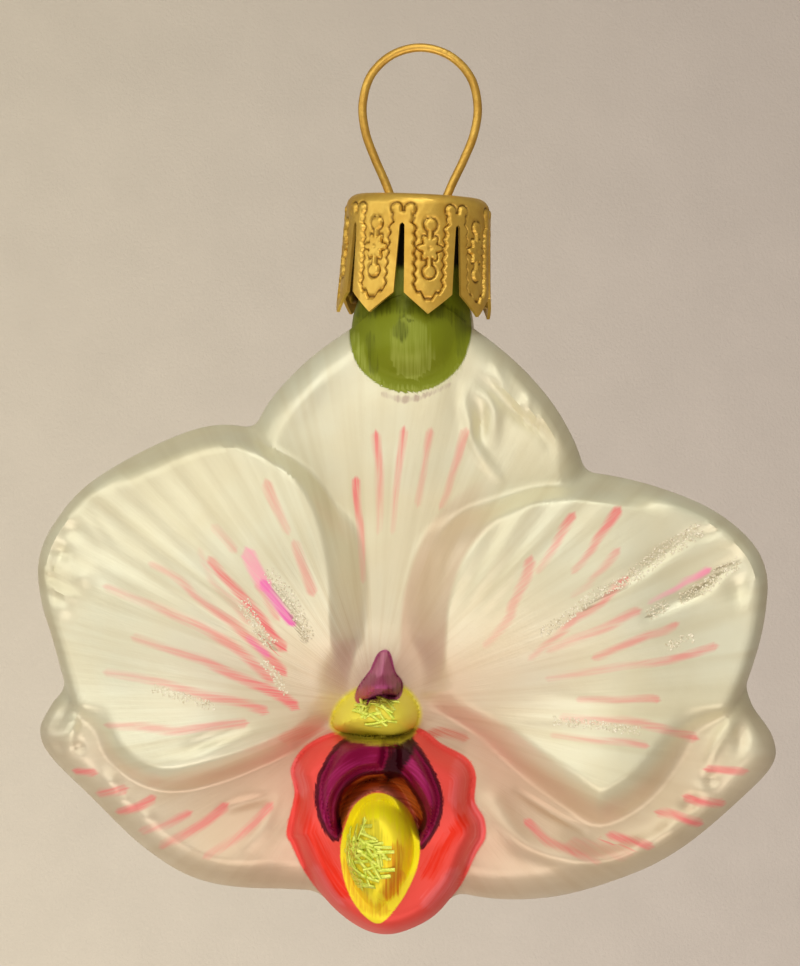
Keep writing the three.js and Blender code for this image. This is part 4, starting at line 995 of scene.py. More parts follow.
def bloom_skin(settings):
    """The closed skin of the bloom: a front and a back sheet of rings that meet along the rim."""
    around = settings.around
    angles = np.arange(around) * 2 * np.pi / around
    heading = np.stack([np.cos(angles), np.sin(angles)], 1)
    rims = rim_radii(angles)
    blocks = [on_plan(NET_CENTRE + heading * rims[:, None], np.zeros(around))]
    faces = []
    near, far, back = (step / MM for step in (settings.near_step, settings.far_step, settings.back_step))
    for side, steps, insets, height_of in ((1, (near, far), RIM_INSETS, front_height),
                                           (-1, (back, back), RIM_INSETS[::2], back_height)):
        levels = ring_levels(rims, *steps, insets)
        plan = np.concatenate([NET_CENTRE[None]] + [NET_CENTRE + heading * r[:, None] for r in levels])
        pole = sum(len(block) for block in blocks)
        blocks.append(on_plan(plan, side * height_of(plan)))
        starts = [pole + 1 + k * around for k in range(len(levels))] + [0]
        for i in range(around):
            j = (i + 1) % around
            ring_faces = [(pole, starts[0] + i, starts[0] + j)]
            ring_faces += [(a + i, b + i, b + j, a + j) for a, b in zip(starts, starts[1:])]
            faces += ring_faces if side > 0 else [face[::-1] for face in ring_faces]
    return np.concatenate(blocks), faces


def stroke_field(p, strokes):
    """For each point, how far across the nearest stroke it lies, half the stroke's width and its strength."""
    field = np.tile([0.0, -1.0, 0.0], (len(p), 1))
    best = np.full(len(p), 1e9)
    for points, half_width, first, last in strokes:
        line = spline(points, 5, closed=False)
        rows = np.flatnonzero(near_line(p, line, half_width + STROKE_MARGIN))
        across, beyond, place = across_line(p[rows], line)
        strength = first + (last - first) * place
        width = half_width * (0.5 + 0.5 * strength / max(first, last)) - beyond
        width -= 3 * np.clip(np.abs(across) - half_width - STROKE_FADE, 0, None)
        distance = np.hypot(across, beyond)
        closer = distance < best[rows]
        field[rows[closer]] = np.stack([across, width, strength], 1)[closer]
        best[rows[closer]] = distance[closer]
    return field


def around_point(p, centre, arm, up):
    """Streak coordinates round a point, along its circle and outwards. up is 1 to part them below it."""
    away = p - np.array(centre)
    return np.stack([np.arctan2(away[:, 0], up * away[:, 1]) * arm, np.hypot(*away.T)], 1)


def paint_fields(points):
    """Where each paint lies, for every point of the glass, and the way that the brush ran there."""
    p = points[:, [0, 2]] / MM - HEART
    on_front = points[:, 1] < FRONT_LIMIT
    inside = {name: inside_distance(p, form["curve"]) for name, form in
              [*MAIN_FORMS.items(), *RAISED_FORMS.items(), ("throat", THROAT)]}
    inside["crescent"] = np.maximum(inside["crescent_left"], inside["crescent_right"])
    areas = {name: np.where(on_front, inside[name], -5.0)
             for name in ("lip", "throat", "crescent", "tongue", "column", "anther")}
    areas["bulb"] = np.maximum(inside["bulb"], 2 * (p[:, 1] - NECK_FOOT_V))
    # The bare neck inside the cap is painted near-black as painted shade
    areas["neck"] = p[:, 1] - NECK_SHADE_V
    petal_top = np.where(p[:, 0] < 0, face_height(p, MAIN_FORMS["petal_left"]),
                         face_height(p, MAIN_FORMS["petal_right"]))
    hollow = fade(petal_top + points[:, 1] / MM, *HOLLOW_REACH)
    low = fade(p[:, 1], *LOW_REACH)
    width, outside = MAIN_FORMS["petal_right"]["inner_wall"]
    up_wall = inside["petal_right"] + outside
    # Painted shade on the right petal's steep wall beside the dorsal sepal
    right_wall_shade = (beside_dorsal(p) * fade(up_wall, WALL_START * width, WALL_START * width + WALL_FADE)
                  * fade(up_wall, width, width - WALL_FADE))
    # Blush: beige airbrush on the lower walls, with painted shade in their hollows, on that wall and round
    # the heart
    blush = hollow * (0.12 + 0.73 * low) * (0.35 + soft_patch(p, *BLUSH_SHADE_PATCH))
    blush += 0.5 * right_wall_shade + 0.4 * soft_patch(p, *HEART_SHADE_PATCH)
    # Rose airbrush round the heart and in a faint veil, with painted shade in the hollows of the low walls
    rosy = 0.5 * soft_patch(p, *ROSY_PATCH) + 0.3 * hollow * low * soft_patch(p, *LOW_ROSY_SHADE_PATCH)
    rosy += 0.2 * soft_patch(np.stack([np.abs(p[:, 0]), p[:, 1]], 1), *VEIL_PATCH)
    washes = {"blush": on_front * np.clip(blush, 0, 0.8), "rosy": on_front * np.clip(rosy, 0, 0.6)}
    coats = {name: stroke_field(p, strokes) for name, strokes in STROKES.items()}
    for name, coat in coats.items():
        owner = name.split("_")[0]
        if owner in areas:
            coat[:, 2] *= fade(areas[owner], *OWNER_REACH)
        coat[~on_front, 1] = -1.0
    brush = around_point(p, (-1, 0), 14, 1)
    for name, streaks in (
            ("lip", np.stack([inside["lip"], around_point(p, (-0.3, -11), 7, -1)[:, 0]], 1)),
            ("throat", around_point(p, (-0.5, -13), 5, -1)[:, ::-1]),
            ("crescent", around_point(p, (-0.5, -9.5), 5, -1)[:, ::-1]),
            ("tongue", p), ("column", p[:, ::-1]), ("anther", p), ("bulb", p)):
        brush = np.where(areas[name][:, None] > 0, streaks, brush)
    return areas, washes, coats, brush


def bristle_group():
    """Streaks that the bristles leave along the brush's way: an uneven edge and bare lines."""
    tree, source, result = new_tree("Bristles", "ShaderNodeTree",
                                    {"Brush": "Vector", "Fine": "Float", "Long": "Float"},
                                    {"Edge": "Float", "Cover": "Float"})
    scale = add_node(tree, "ShaderNodeCombineXYZ", {"X": source["Fine"], "Y": source["Long"]}).outputs[0]
    place = add_node(tree, "ShaderNodeVectorMath", {0: source["Brush"], 1: scale}, operation="MULTIPLY")
    streaks = noise(tree, place.outputs[0], 1.0, 2.0)
    connect(tree, (ranged(tree, streaks, 0.25, 0.75, -1.0, 1.0), result["Edge"]),
            (ranged(tree, streaks, 0.4, 0.58), result["Cover"]))
    return tree


def brushed_paint_group():
    """How much of a paint lies on a point: ragged at its edge and broken up where the brush ran dry."""
    labels = ("Inside", "Strength", "Edge", "Cover", "Soft", "Ragged", "Dry")
    tree, source, result = new_tree("Brushed paint", "ShaderNodeTree", dict.fromkeys(labels, "Float"),
                                    {"Mask": "Float"})
    shifted = calculate(tree, "ADD", source["Inside"], times(tree, source["Edge"], source["Ragged"]))
    reach = times(tree, source["Soft"], 0.5)
    cover = faded(tree, shifted, times(tree, reach, -1.0), reach)
    wet = calculate(tree, "SUBTRACT", 1.0, source["Dry"])
    bristles = ranged(tree, source["Cover"], 0.0, 1.0, wet, 1.0)
    mask = times(tree, times(tree, cover, bristles), source["Strength"], clamp=True)
    connect(tree, (mask, result["Mask"]))
    return tree


def laid_paint(tree, name, kind, soft, ragged, dry, group, bristles):
    """The mask of one paint on the glass, from its field."""
    if kind == "wash":
        return attribute(tree, name)
    strength = 1.0
    if kind == "coat":
        across, width, strength = parts_of(tree, attribute(tree, name, "Vector"))
        inside = calculate(tree, "SUBTRACT", width, calculate(tree, "ABSOLUTE", across))
    elif kind == "rim":
        depth = attribute(tree, name.split("_")[0])
        inside = calculate(tree, "SUBTRACT", RIM_LINE_WIDTH, calculate(tree, "ABSOLUTE", depth))
    else:
        inside = attribute(tree, name)
    return use_group(tree, group, Inside=inside, Strength=strength, Edge=bristles["Edge"],
                     Cover=bristles["Cover"], Soft=soft, Ragged=ragged, Dry=dry)["Mask"]


def painted_pearl(settings):
    """Satin pearl over silvered glass with the paints over it, each laid in its own way."""
    material, tree, shader, mottle = mottled_material("painted_glass", settings.pearl, settings.pearl_shade,
                                                      60.0, 0.38, 0.46)
    brush = attribute(tree, "brush", "Vector")
    streaks = bristle_group()
    bristles = use_group(tree, streaks, Brush=brush, **BRISTLE_SCALE)
    rays = use_group(tree, streaks, Brush=brush, **RAY_SCALE)["Edge"]
    thin = ranged(tree, rays, -0.2, 0.7, 0.0, 0.5)
    colour_now = mixed(tree, thin, mottle["Color"], tuple(settings.pearl_ray))
    group = brushed_paint_group()
    painted = strokes = 0.0
    for name, (_, _, kind, *manner) in PAINTS.items():
        mask = laid_paint(tree, name, kind, *manner, group, bristles)
        colour_now = mixed(tree, mask, colour_now, tuple(getattr(settings, name)))
        if kind == "area":
            painted = calculate(tree, "MAXIMUM", painted, mask)
        elif name in ("coral", "coral_between", "rose", "magenta"):
            strokes = calculate(tree, "MAXIMUM", strokes, mask)
    metal = ranged(tree, painted, 0.0, 1.0, PEARL_METAL, PAINT_METAL)
    shader["Specular IOR Level"].default_value = 0.12
    shader["Coat Roughness"].default_value = 0.22
    grain = noise(tree, coordinates(tree), 700.0, 3.0)
    height = calculate(tree, "ADD", grain, times(tree, bristles["Edge"], 0.12))
    connect(tree, (colour_now, shader["Base Color"]),
            (times(tree, metal, calculate(tree, "SUBTRACT", 1.0, strokes)), shader["Metallic"]),
            (ranged(tree, painted, 0.0, 1.0, 0.1, 0.02), shader["Coat Weight"]),
            (ranged(tree, painted, 0.0, 1.0, mottle["Roughness"], 0.44), shader["Roughness"]),
            (bump(tree, height, 0.04 * MM), shader["Normal"]))
    return material


class ORNAMENT_OT_blown_glass(bpy.types.Operator):
    """Blow the bloom and its neck in one form, bore out the neck and paint it"""
    bl_idname = "ornament.blown_glass"
    bl_label = "Blown glass"

    def execute(self, context):
        settings = context.scene.ornament_bloom
        glass = new_object("glass_bloom", *bloom_skin(settings))
        profile = spline(NECK_PROFILE, 4, closed=False)
        combine(glass, turned("neck", [(0, BULB_BOTTOM_Z), *profile, (0, NECK_MOUTH_Z)], 96), "UNION")
        bore = [(0, BORE_FOOT_Z), (BORE_RADIUS, BORE_FOOT_Z + 1), (BORE_RADIUS, NECK_MOUTH_Z + 1),
                (0, NECK_MOUTH_Z + 1)]
        combine(glass, turned("bore", bore, 48), "DIFFERENCE")
        mesh = glass.data
        areas, washes, coats, brush = paint_fields(vertex_points(mesh))
        for name, field in (areas | washes).items():
            add_field(mesh, name, field)
        coats["brush"] = np.column_stack([brush, np.zeros(len(brush))])
        for name, field in coats.items():
            add_field(mesh, name, field.ravel(), "FLOAT_VECTOR", "vector")
        mesh.materials.clear()
        mesh.materials.append(painted_pearl(settings))
        shade_smooth(mesh, 50)
        place_by_frame(glass, "glass_flower")
        return {"FINISHED"}


# The cap

SHOULDER_DROP = 1.0
SHOULDER_POWER = 0.8
SLIT_TOP_Z = -15.15
SLIT_FOOT_Z = -21.2
SLIT_WIDTHS = (0.4, 0.9)
SLIT_ROUNDING = 0.25
TAB_TIP_Z = -22.95
FIRST_TAB_ANGLE = math.radians(10.6)
TAB_COLUMNS = 48
TAB_ROWS = 84
CAP_HOLE = {"offset": 2.38, "radius": 0.775}
SCALLOP_PITCH = 0.87
BORDER_WIDTH = 0.78
BALL_Z = -14.0
BALL_RADIUS = 0.42
BALL_INSET = 0.62
RING_RADIUS = 0.5
RING_HEIGHTS = (-15.3, -19.35)
ROSETTE_Z = -17.3
ROSETTE_RADIUS = 0.86
ROSETTE_LOBE = 0.24
EYE_RADIUS = 0.28
BAR_WIDTH = 0.13
BAR_REACH = 1.7
GROOVE = 0.1
GROOVE_SHADE_TINT = paint(92, 58, 22)


def slit_width(z):
    share = np.clip((SLIT_TOP_Z - z) / (SLIT_TOP_Z - SLIT_FOOT_Z), 0, 1)
    top, foot = SLIT_WIDTHS
    return fade(z, SLIT_TOP_Z, SLIT_TOP_Z - SLIT_ROUNDING) * (top + share * (foot - top))


def skirt_radius(z, settings):
    share = np.clip((CAP_TOP_Z - SHOULDER_DROP - z) / (CAP_TOP_Z - SHOULDER_DROP - TAB_TIP_Z), 0, 1)
    return settings.skirt_radius / MM + (settings.foot_radius - settings.skirt_radius) / MM * share**1.5


def raised(inside):
    """A raised form with a groove round its outline, from the distance inside the outline."""
    return fade(inside, -0.07, 0.07) - 0.9 * np.exp(-((inside + 0.12) / GROOVE) ** 2)


def tab_relief(x, z, half_width):
    """The stamped pattern of a tab: scalloped border, balls, rings, and a six-petalled rosette on a bar."""
    side = half_width - np.abs(x)
    point_slope = (SLIT_FOOT_Z - TAB_TIP_Z) / half_width
    to_point = (z - (TAB_TIP_Z + np.abs(x) * point_slope)) / np.sqrt(1 + point_slope**2)
    on_point = to_point < side
    along = np.where(on_point, np.abs(x) * np.sqrt(1 + point_slope**2), z)
    border = BORDER_WIDTH + 0.1 * np.cos(2 * np.pi * along / SCALLOP_PITCH) - np.minimum(side, to_point)
    border = np.minimum(border, BALL_Z - 0.3 - z)
    away = np.hypot(x, z - ROSETTE_Z)
    petals = ROSETTE_RADIUS + ROSETTE_LOBE * np.cos(6 * np.arctan2(z - ROSETTE_Z, x))
    forms = [border, BALL_RADIUS - np.hypot(side - BALL_INSET, z - BALL_Z), petals - away,
             *(RING_RADIUS - np.hypot(x, z - centre) for centre in RING_HEIGHTS),
             np.minimum(BAR_WIDTH - np.abs(x), BAR_REACH - away)]
    nearest = np.maximum.reduce(forms)
    return raised(nearest) - 0.5 * fade(away, EYE_RADIUS, 0)


def cap_sector(settings):
    """One tab with its share of the shoulder and the top, the tab's middle towards -Y."""
    half_pitch = math.pi / settings.tabs
    across = np.linspace(-1, 1, TAB_COLUMNS + 1)
    top_radius = settings.top_radius / MM
    skirt = settings.skirt_radius / MM
    rows, reliefs = [], []

    def add_row(radius, z, stamped=True):
        z = np.zeros(len(across)) + z
        half_width = half_pitch * radius - slit_width(z) / 2
        relief = stamped * tab_relief(across * half_width, z, half_width)
        angle = across * half_width / radius
        out = radius + settings.emboss / MM * relief
        rows.append(np.stack([out * np.sin(angle), -out * np.cos(angle), z], 1))
        reliefs.append(relief)

    for radius in np.linspace(0.15, top_radius, 8):
        add_row(radius, CAP_TOP_Z, stamped=False)
    for turn in np.linspace(0.06, 1, 16) * math.pi / 2:
        add_row(top_radius + (skirt - top_radius) * math.sin(turn) ** SHOULDER_POWER,
                CAP_TOP_Z - SHOULDER_DROP * (1 - math.cos(turn)) ** SHOULDER_POWER)
    for z in np.linspace(CAP_TOP_Z - SHOULDER_DROP, SLIT_TOP_Z, 9)[1:]:
        add_row(skirt_radius(z, settings), z)
    foot = SLIT_FOOT_Z + (np.abs(across) - 1) * (SLIT_FOOT_Z - TAB_TIP_Z)
    for share in np.linspace(0, 1, TAB_ROWS + 1)[1:]:
        z = SLIT_TOP_Z + share * (foot - SLIT_TOP_Z)
        add_row(skirt_radius(z, settings), z)
    faces = grid_faces(len(rows), TAB_COLUMNS + 1, mirrored=True)
    centre = len(rows) * (TAB_COLUMNS + 1)
    faces += [(centre, c, c + 1) for c in range(TAB_COLUMNS)]
    vertices = np.concatenate([*rows, [[0, 0, CAP_TOP_Z]]])
    return vertices * MM, faces, np.append(np.concatenate(reliefs), 0.0)


def repeat_round_tree(material):
    """Repeats a sector about Z and welds the copies into one sheet."""
    tree, source, result = geometry_tree("Repeat round", {"Count": "Int", "First angle": "Float"})
    points = add_node(tree, "GeometryNodePoints", {"Count": source["Count"]}).outputs[0]
    index = add_node(tree, "GeometryNodeInputIndex").outputs[0]
    pitch = calculate(tree, "DIVIDE", 2 * math.pi, source["Count"])
    angle = calculate(tree, "ADD", times(tree, index, pitch), source["First angle"])
    heading = add_node(tree, "ShaderNodeCombineXYZ", {"Z": angle}).outputs[0]
    copies = add_node(tree, "GeometryNodeInstanceOnPoints",
                      {"Points": points, "Instance": source["Geometry"], "Rotation": heading})
    realize = add_node(tree, "GeometryNodeRealizeInstances", {0: copies.outputs[0]})
    put_out(tree, result, realize.outputs[0], material, weld=0.01 * MM)
    return tree


def gold_lacquer(settings, name, scale, smooth, rough):
    """Gold lacquered metal, duller in patches, with painted shade darkening the stamped grooves."""
    material, tree, shader, mottle = mottled_material(name, settings.gold, settings.gold_dark, scale, smooth,
                                                      rough, metal=0.65)
    # Painted shade: a dark brown tint in the stamped grooves
    groove = ranged(tree, attribute(tree, "relief"), -0.1, -0.8, 0.0, 0.75)
    connect(tree, (mixed(tree, groove, mottle["Color"], GROOVE_SHADE_TINT), shader["Base Color"]),
            (bump(tree, mottle["Height"], 0.02 * MM), shader["Normal"]))
    return material


class ORNAMENT_OT_crown_cap(bpy.types.Operator):
    """Stamp the crown cap: embossed tabs, rounded shoulder and two holes for the wire"""
    bl_idname = "ornament.crown_cap"
    bl_label = "Crown cap"

    def execute(self, context):
        settings = context.scene.ornament_cap
        vertices, faces, relief = cap_sector(settings)
        cap = new_object("crown_cap", vertices, faces)
        add_field(cap.data, "relief", relief)
        lacquer = gold_lacquer(settings, "cap_metal", 350.0, 0.34, 0.46)
        run_tree(cap, repeat_round_tree(lacquer), {"Count": settings.tabs, "First angle": FIRST_TAB_ANGLE})
        cap.data.vertices.foreach_set("co", on_neck_axis(vertex_points(cap.data) / MM).ravel())
        sheet = cap.modifiers.new("sheet", "SOLIDIFY")
        sheet.thickness = settings.sheet
        sheet.offset = -1.0
        bake_modifiers(cap)
        low, high, radius = CAP_TOP_Z - 1, CAP_TOP_Z + 1, CAP_HOLE["radius"]
        for side in (-1, 1):
            hole = turned("hole", [(0, low), (radius, low), (radius, high), (0, high)], 32,
                          offset=side * CAP_HOLE["offset"])
            combine(cap, hole, "DIFFERENCE")
        shade_smooth(cap.data, 60)
        place_by_frame(cap, "cap")
        return {"FINISHED"}


# The wire

WIRE_FACETS = 20
WIRE_HALF = [(2.5, -0.3), (4.33, -2.13), (5.0, -4.63), (4.72, -7.05), (3.9, -9.25), (3.05, -11.1),
             (2.55, -12.3), (2.3, -13.1), (2.45, -14.2), (2.75, -16.4), (2.8, -20.0), (2.8, -24.4)]


def wire_point(x, z):
    """Points above the cap are tilted back against the neck's lean."""
    rise = z - CAP_TOP_Z
    if rise < 0:
        return (x, 0, z)
    c, s = math.cos(LOOP_TILT), math.sin(LOOP_TILT)
    return (x * c - rise * s, 0, CAP_TOP_Z + x * s + rise * c)


def tube_tree(material):
    """A round tube with closed ends along a line."""
    tree, source, result = geometry_tree("Round wire", {"Radius": "Float"})
    line = add_node(tree, "GeometryNodeMeshToCurve", {"Mesh": source["Geometry"]})
    section = add_node(tree, "GeometryNodeCurvePrimitiveCircle",
                       {"Radius": source["Radius"], "Resolution": WIRE_FACETS})
    put_out(tree, result, swept(tree, line, section), material, weld=0.001 * MM)
    return tree


class ORNAMENT_OT_hanging_wire(bpy.types.Operator):
    """Bend the sprung wire loop and its two legs"""
    bl_idname = "ornament.hanging_wire"
    bl_label = "Hanging wire"

    def execute(self, context):
        settings = context.scene.ornament_wire
        left = [wire_point(-x, z) for x, z in reversed(WIRE_HALF)]
        right = [wire_point(x, z) for x, z in WIRE_HALF]
        route = spline([*left, wire_point(0, settings.radius / MM), *right], 8, closed=False)
        edges = [(i, i + 1) for i in range(len(route) - 1)]
        wire = new_object("hanging_wire", on_neck_axis(route), edges=edges)
        lacquer = gold_lacquer(settings, "wire", 500.0, 0.32, 0.42)
        run_tree(wire, tube_tree(lacquer), {"Radius": settings.radius})
        shade_smooth(wire.data, 60)
        place_by_frame(wire, "hanger_wire")
        return {"FINISHED"}


# Tinsel and glitter

DABS = {
    "column": dict(centre=(-0.6, -0.5), radii=(1.6, 1.2), node="column_tinsel", seed=1),
    "lip": dict(centre=(-1.6, -12.6), radii=(1.7, 2.8), node="lip_tinsel", seed=2),
}
DAB_RINGS = 6
DAB_FACETS = 24
FIBRE_BENDS = (0.0, 0.03, 0.1)
FILM_THICKNESS = 0.3
BIT_SIZES = (0.65, 1.05)
FIBRE_TILT = math.radians(9)
FIBRE_SPINS = (-1.6, 0.3)
GRAIN_TILT = math.radians(35)
GRAIN_SPINS = (-math.pi, math.pi)
GRAIN_THICKNESS = 0.3
GRAIN_LIFT = 0.01
RIBBON_LANES = 5
RIBBON_REACH = 1.3
FIBRE_LIFT = 0.06


def dab_patch(name, centre, radii):
    """A small oval sheet just over the glass that the fibres are strewn on."""
    rings, around = DAB_RINGS, DAB_FACETS
    angles = np.arange(around) * 2 * np.pi / around
    heading = np.stack([np.cos(angles), np.sin(angles)], 1)
    plan = [np.array([centre], float)]
    plan += [np.array(centre) + np.array(radii) * ring / rings * heading for ring in range(1, rings + 1)]
    plan = np.concatenate(plan)
    faces = [(0, 1 + i, 1 + (i + 1) % around) for i in range(around)]
    faces += grid_faces(rings, around, start=1, closed=True, mirrored=True)
    return new_object(name, on_plan(plan, front_height(plan) + FIBRE_LIFT), faces)


def stroke_ribbon(name, strokes):
    """Narrow sheets that follow the glass along brush strokes, for grains to be strewn on."""
    blocks, faces = [], []
    lanes = np.linspace(-RIBBON_REACH, RIBBON_REACH, RIBBON_LANES)
    for points, half_width in strokes:
        line = spline(points, 12, closed=False)
        heading = np.gradient(line, axis=0)
        side = np.stack([-heading[:, 1], heading[:, 0]], 1)
        side /= np.hypot(*side.T)[:, None]
        faces += grid_faces(len(lanes), len(line), start=sum(len(block) for block in blocks))
        plan = np.concatenate([line + lane * half_width * side for lane in lanes])
        blocks.append(on_plan(plan, front_height(plan) + GRAIN_LIFT))
    return new_object(name, np.concatenate(blocks), faces)


def random_value(tree, kind, low, high, seed):
    node = add_node(tree, "FunctionNodeRandomValue", data_type=kind)
    shown = [socket for socket in node.inputs if socket.enabled]
    shown[0].default_value = low
    shown[1].default_value = high
    connect(tree, (seed, next(socket for socket in shown if socket.name == "Seed")))
    return next(socket for socket in node.outputs if socket.enabled)


def strewn_tree(name, material, make_bits, tilt, spins):
    """Strews small bits over a sheet, each laid along it, spun and tilted at random."""
    tree, source, result = geometry_tree(name, {"Length": "Float", "Width": "Float", "Density": "Float",
                                                "Seed": "Int"})
    join = add_node(tree, "GeometryNodeJoinGeometry")
    kinds = make_bits(tree, source)
    share = calculate(tree, "DIVIDE", source["Density"], float(len(kinds)))
    for order, bits in enumerate(kinds):
        seed = calculate(tree, "ADD", source["Seed"], float(order * 10))
        spread = add_node(tree, "GeometryNodeDistributePointsOnFaces",
                          {"Mesh": source["Geometry"], "Density": share, "Seed": seed}).outputs
        spin = random_value(tree, "FLOAT_VECTOR", (-tilt, -tilt, spins[0]), (tilt, tilt, spins[1]), seed)
        turn = add_node(tree, "FunctionNodeRotateRotation",
                        {"Rotation": spread["Rotation"], "Rotate By": spin}, rotation_space="LOCAL")
        copies = add_node(tree, "GeometryNodeInstanceOnPoints",
                          {"Points": spread["Points"], "Instance": bits, "Rotation": turn.outputs[0],
                           "Scale": random_value(tree, "FLOAT", *BIT_SIZES, seed)})
        connect(tree, (copies.outputs[0], join.inputs[0]))
    realize = add_node(tree, "GeometryNodeRealizeInstances", {0: join.outputs[0]})
    put_out(tree, result, realize.outputs[0], material)
    return tree


def film_fibres(tree, source):
    """Fibres of cut film, straight and bowed, one kind for each bend."""
    section = add_node(tree, "GeometryNodeCurvePrimitiveQuadrilateral",
                       {"Width": source["Width"], "Height": times(tree, source["Width"], FILM_THICKNESS)})
    half = times(tree, source["Length"], 0.5)
    left = times(tree, half, -1.0)
    kinds = []
    for bend in FIBRE_BENDS:
        rise = times(tree, source["Length"], bend)
        places = {label: add_node(tree, "ShaderNodeCombineXYZ", {"X": x, "Z": z}).outputs[0]
                  for label, x, z in (("Start", left, 0.0), ("Middle", 0.0, rise), ("End", half, 0.0))}
        line = add_node(tree, "GeometryNodeCurveQuadraticBezier", {"Resolution": 5, **places})
        kinds.append(swept(tree, line, section))
    return kinds


def silver_grains(tree, source):
    """Flat six-sided grains."""
    radius = times(tree, source["Width"], 0.5)
    grain = add_node(tree, "GeometryNodeMeshCylinder",
                     {"Vertices": 6, "Radius": radius, "Depth": source["Length"]})
    return [grain.outputs["Mesh"]]


class ORNAMENT_OT_glued_tinsel(bpy.types.Operator):
    """Glue short fibres of yellow green film on the column and the lip's tongue"""
    bl_idname = "ornament.glued_tinsel"
    bl_label = "Glued tinsel"

    def execute(self, context):
        settings = context.scene.ornament_tinsel
        film, *_ = mottled_material("tinsel", settings.yellow, settings.green, 2500.0, 0.28, 0.42, metal=0.25)
        tree = strewn_tree("Strewn tinsel", film, film_fibres, FIBRE_TILT, FIBRE_SPINS)
        for name, dab in DABS.items():
            tuft = dab_patch(f"{name}_tuft", dab["centre"], dab["radii"])
            run_tree(tuft, tree, {"Length": settings.fibre_length, "Width": settings.fibre_width,
                                  "Density": settings.density, "Seed": settings.seed + dab["seed"]})
            place_by_frame(tuft, dab["node"])
        return {"FINISHED"}


class ORNAMENT_OT_silver_glitter(bpy.types.Operator):
    """Strew silver grains along the strokes of clear size"""
    bl_idname = "ornament.silver_glitter"
    bl_label = "Silver glitter"

    def execute(self, context):
        settings = context.scene.ornament_glitter
        silver, *_ = mottled_material("glitter", settings.silver, settings.grey, 4000.0, 0.2, 0.35)
        tree = strewn_tree("Strewn glitter", silver, silver_grains, GRAIN_TILT, GRAIN_SPINS)
        glitter = stroke_ribbon("silver_glitter", SILVER_STROKES)
        run_tree(glitter, tree, {"Length": settings.grain * GRAIN_THICKNESS, "Width": settings.grain,
                                 "Density": settings.density, "Seed": settings.seed})
        place_by_frame(glitter, None)
        return {"FINISHED"}


# The stage

PHOTO_SIZE = (800, 966)
PIXELS_FOR_MM = 11.5
HANG_POINT_PX = (421, 52)
SENSOR = 36.0
TINT_REACH = 0.16
SWEEP_REACH = 2.6
SWEEP_BEND = 0.5
MIDDLE = (0.0, 0.0, -0.045)
LAMPS = (
    dict(name="window", place=(-0.32, -0.95, 0.42), size=(1.4, 0.9), power=5.8, tint=(1.0, 0.985, 0.94)),
    dict(name="side window", place=(-0.9, -0.2, 0.15), size=(0.6, 0.6), power=1.4, tint=(1.0, 0.99, 0.95)),
    dict(name="ceiling", place=(0.05, -0.35, 0.6), size=(0.4, 0.3), power=1.2, tint=(1.0, 0.98, 0.95)),
    dict(name="table", place=(0.0, -0.45, -0.45), size=(0.8, 0.4), power=2.2, tint=(1.0, 0.9, 0.86)),
    dict(name="backdrop", place=(-0.3, 0.5, -0.3), size=(0.3, 0.3), power=6.6, tint=(1.0, 0.985, 0.95),
         target=(-0.15, 1.4, -0.3)),
)


def area_light(name, place, size, power, tint, target=MIDDLE):
    light = bpy.data.lights.new(name, "AREA")
    light.shape = "RECTANGLE"
    light.size, light.size_y = size
    light.energy = power
    light.color = tint
    lamp = bpy.data.objects.new(name, light)
    lamp.location = place
    lamp.rotation_euler = (Vector(target) - Vector(place)).to_track_quat("-Z", "Y").to_euler()
    bpy.context.scene.collection.objects.link(lamp)


def pale_plaster(settings):
    """Pale plaster with a painted tint of warm light, warmer on the left than on the right."""
    material = bpy.data.materials.new("backdrop")
    material.use_nodes = True
    tree = material.node_tree
    shader = tree.nodes["Principled BSDF"].inputs
    place = coordinates(tree)
    side = faded(tree, parts_of(tree, place)["X"], -TINT_REACH, TINT_REACH)
    tint = mixed(tree, side, tuple(settings.floor_warm), tuple(settings.floor_cool))
    fleck = ranged(tree, noise(tree, place, 40.0, 4.0), 0.3, 0.7, 0.0, 0.05)
    connect(tree, (mixed(tree, fleck, tint, (0.0, 0.0, 0.0, 1.0)), shader["Base Color"]),
            (bump(tree, noise(tree, place, 900.0, 3.0), 0.2 * MM), shader["Normal"]))
    shader["Roughness"].default_value = 0.9
    return material


def room_light(settings):
    """Light from all round: pale from above, dim and warm from below."""
    world = bpy.data.worlds.new("room")
    world.use_nodes = True
    tree = world.node_tree
    up = parts_of(tree, coordinates(tree, "Generated"))["Z"]
    low = mixed(tree, faded(tree, up, -0.8, 0.1), tuple(settings.light_below), tuple(settings.light_round))
    full = mixed(tree, faded(tree, up, 0.1, 0.9), low, tuple(settings.light_above))
    background = tree.nodes["Background"].inputs
    background["Strength"].default_value = settings.room_strength
    connect(tree, (full, background["Color"]))
    return world


def sweep(settings):
    """A floor that curves up into the wall behind the ornament."""
    floor = -settings.floor_drop
    wall = settings.wall_distance
    arc = [(wall - SWEEP_BEND + SWEEP_BEND * math.sin(a), floor + SWEEP_BEND - SWEEP_BEND * math.cos(a))
           for a in np.linspace(0, math.pi / 2, 13)]
    section = [(-SWEEP_REACH, floor), *arc, (wall, SWEEP_REACH)]
    vertices = [(side * SWEEP_REACH, y, z) for y, z in section for side in (-1, 1)]
    return new_object("sweep", vertices, grid_faces(len(section), 2), material=pale_plaster(settings))


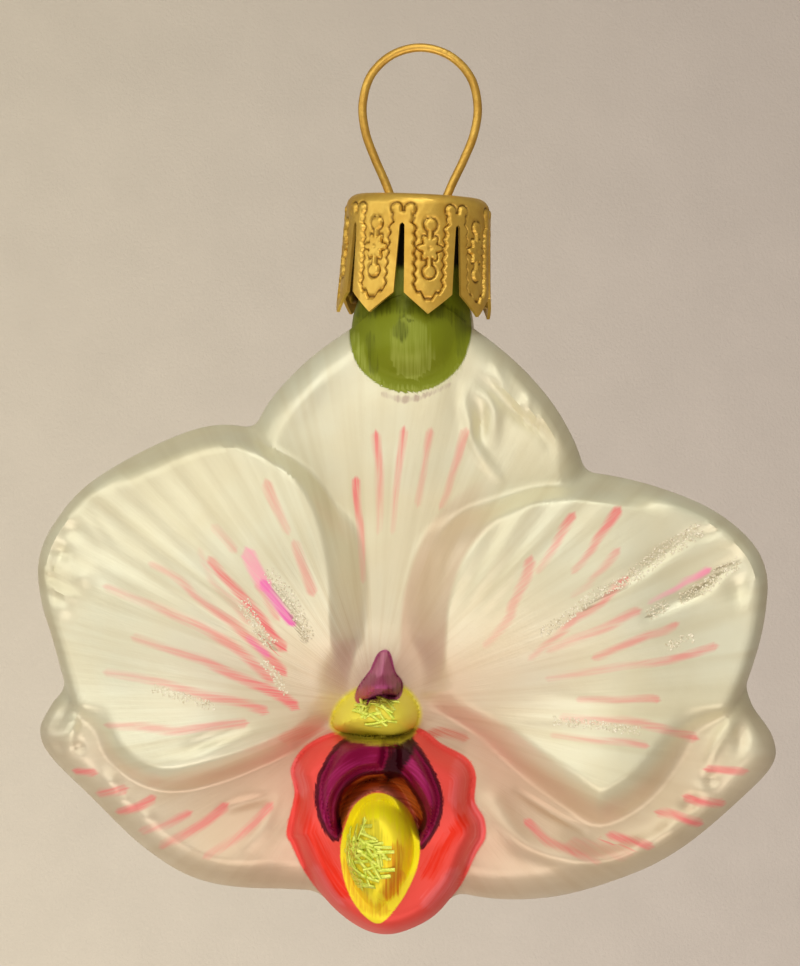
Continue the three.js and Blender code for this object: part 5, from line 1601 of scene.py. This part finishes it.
class ORNAMENT_OT_stage(bpy.types.Operator):
    """Set the pale sweep, the soft lights and the camera"""
    bl_idname = "ornament.stage"
    bl_label = "Stage"

    def execute(self, context):
        settings = context.scene.ornament_stage
        scene = context.scene
        sweep(settings)
        scene.world = room_light(settings)
        for lamp in LAMPS:
            area_light(**lamp)
        lens = bpy.data.cameras.new("camera")
        camera = bpy.data.objects.new("camera", lens)
        scene.collection.objects.link(camera)
        centre_x = (PHOTO_SIZE[0] / 2 - HANG_POINT_PX[0]) / PIXELS_FOR_MM * MM
        centre_z = -(PHOTO_SIZE[1] / 2 - HANG_POINT_PX[1]) / PIXELS_FOR_MM * MM
        camera.location = (centre_x, -settings.camera_distance, centre_z)
        camera.rotation_euler = (math.pi / 2, 0, 0)
        lens.sensor_width = SENSOR
        view_height = PHOTO_SIZE[1] / PIXELS_FOR_MM * MM
        lens.lens = SENSOR * settings.camera_distance / view_height
        scene.camera = camera
        scene.view_settings.view_transform = "Standard"
        return {"FINISHED"}


# Panel and registration

class ORNAMENT_PT_panel(bpy.types.Panel):
    """Steps that build the ornament"""
    bl_label = "Glass orchid ornament"
    bl_idname = "ORNAMENT_PT_panel"
    bl_space_type = "VIEW_3D"
    bl_region_type = "UI"
    bl_category = "Ornament"

    def draw(self, context):
        for operator in OPERATORS:
            self.layout.operator(operator.bl_idname)
        for name in SETTINGS:
            box = self.layout.box()
            group = getattr(context.scene, name)
            for key in group.__annotations__:
                box.prop(group, key)


SETTINGS = {
    "ornament_bloom": BloomSettings, "ornament_cap": CapSettings, "ornament_wire": WireSettings,
    "ornament_tinsel": TinselSettings, "ornament_glitter": GlitterSettings, "ornament_stage": StageSettings,
}
OPERATORS = (ORNAMENT_OT_blown_glass, ORNAMENT_OT_crown_cap, ORNAMENT_OT_hanging_wire,
             ORNAMENT_OT_glued_tinsel, ORNAMENT_OT_silver_glitter, ORNAMENT_OT_stage)


def register():
    for item in (*SETTINGS.values(), *OPERATORS, ORNAMENT_PT_panel):
        bpy.utils.register_class(item)
    for name, group in SETTINGS.items():
        setattr(bpy.types.Scene, name, PointerProperty(type=group))


def unregister():
    for name in SETTINGS:
        delattr(bpy.types.Scene, name)
    for item in reversed((*SETTINGS.values(), *OPERATORS, ORNAMENT_PT_panel)):
        bpy.utils.unregister_class(item)


def main():
    register()
    bpy.ops.ornament.blown_glass()
    bpy.ops.ornament.crown_cap()
    bpy.ops.ornament.hanging_wire()
    bpy.ops.ornament.glued_tinsel()
    bpy.ops.ornament.silver_glitter()
    bpy.ops.ornament.stage()


if __name__ == "__main__":
    main()
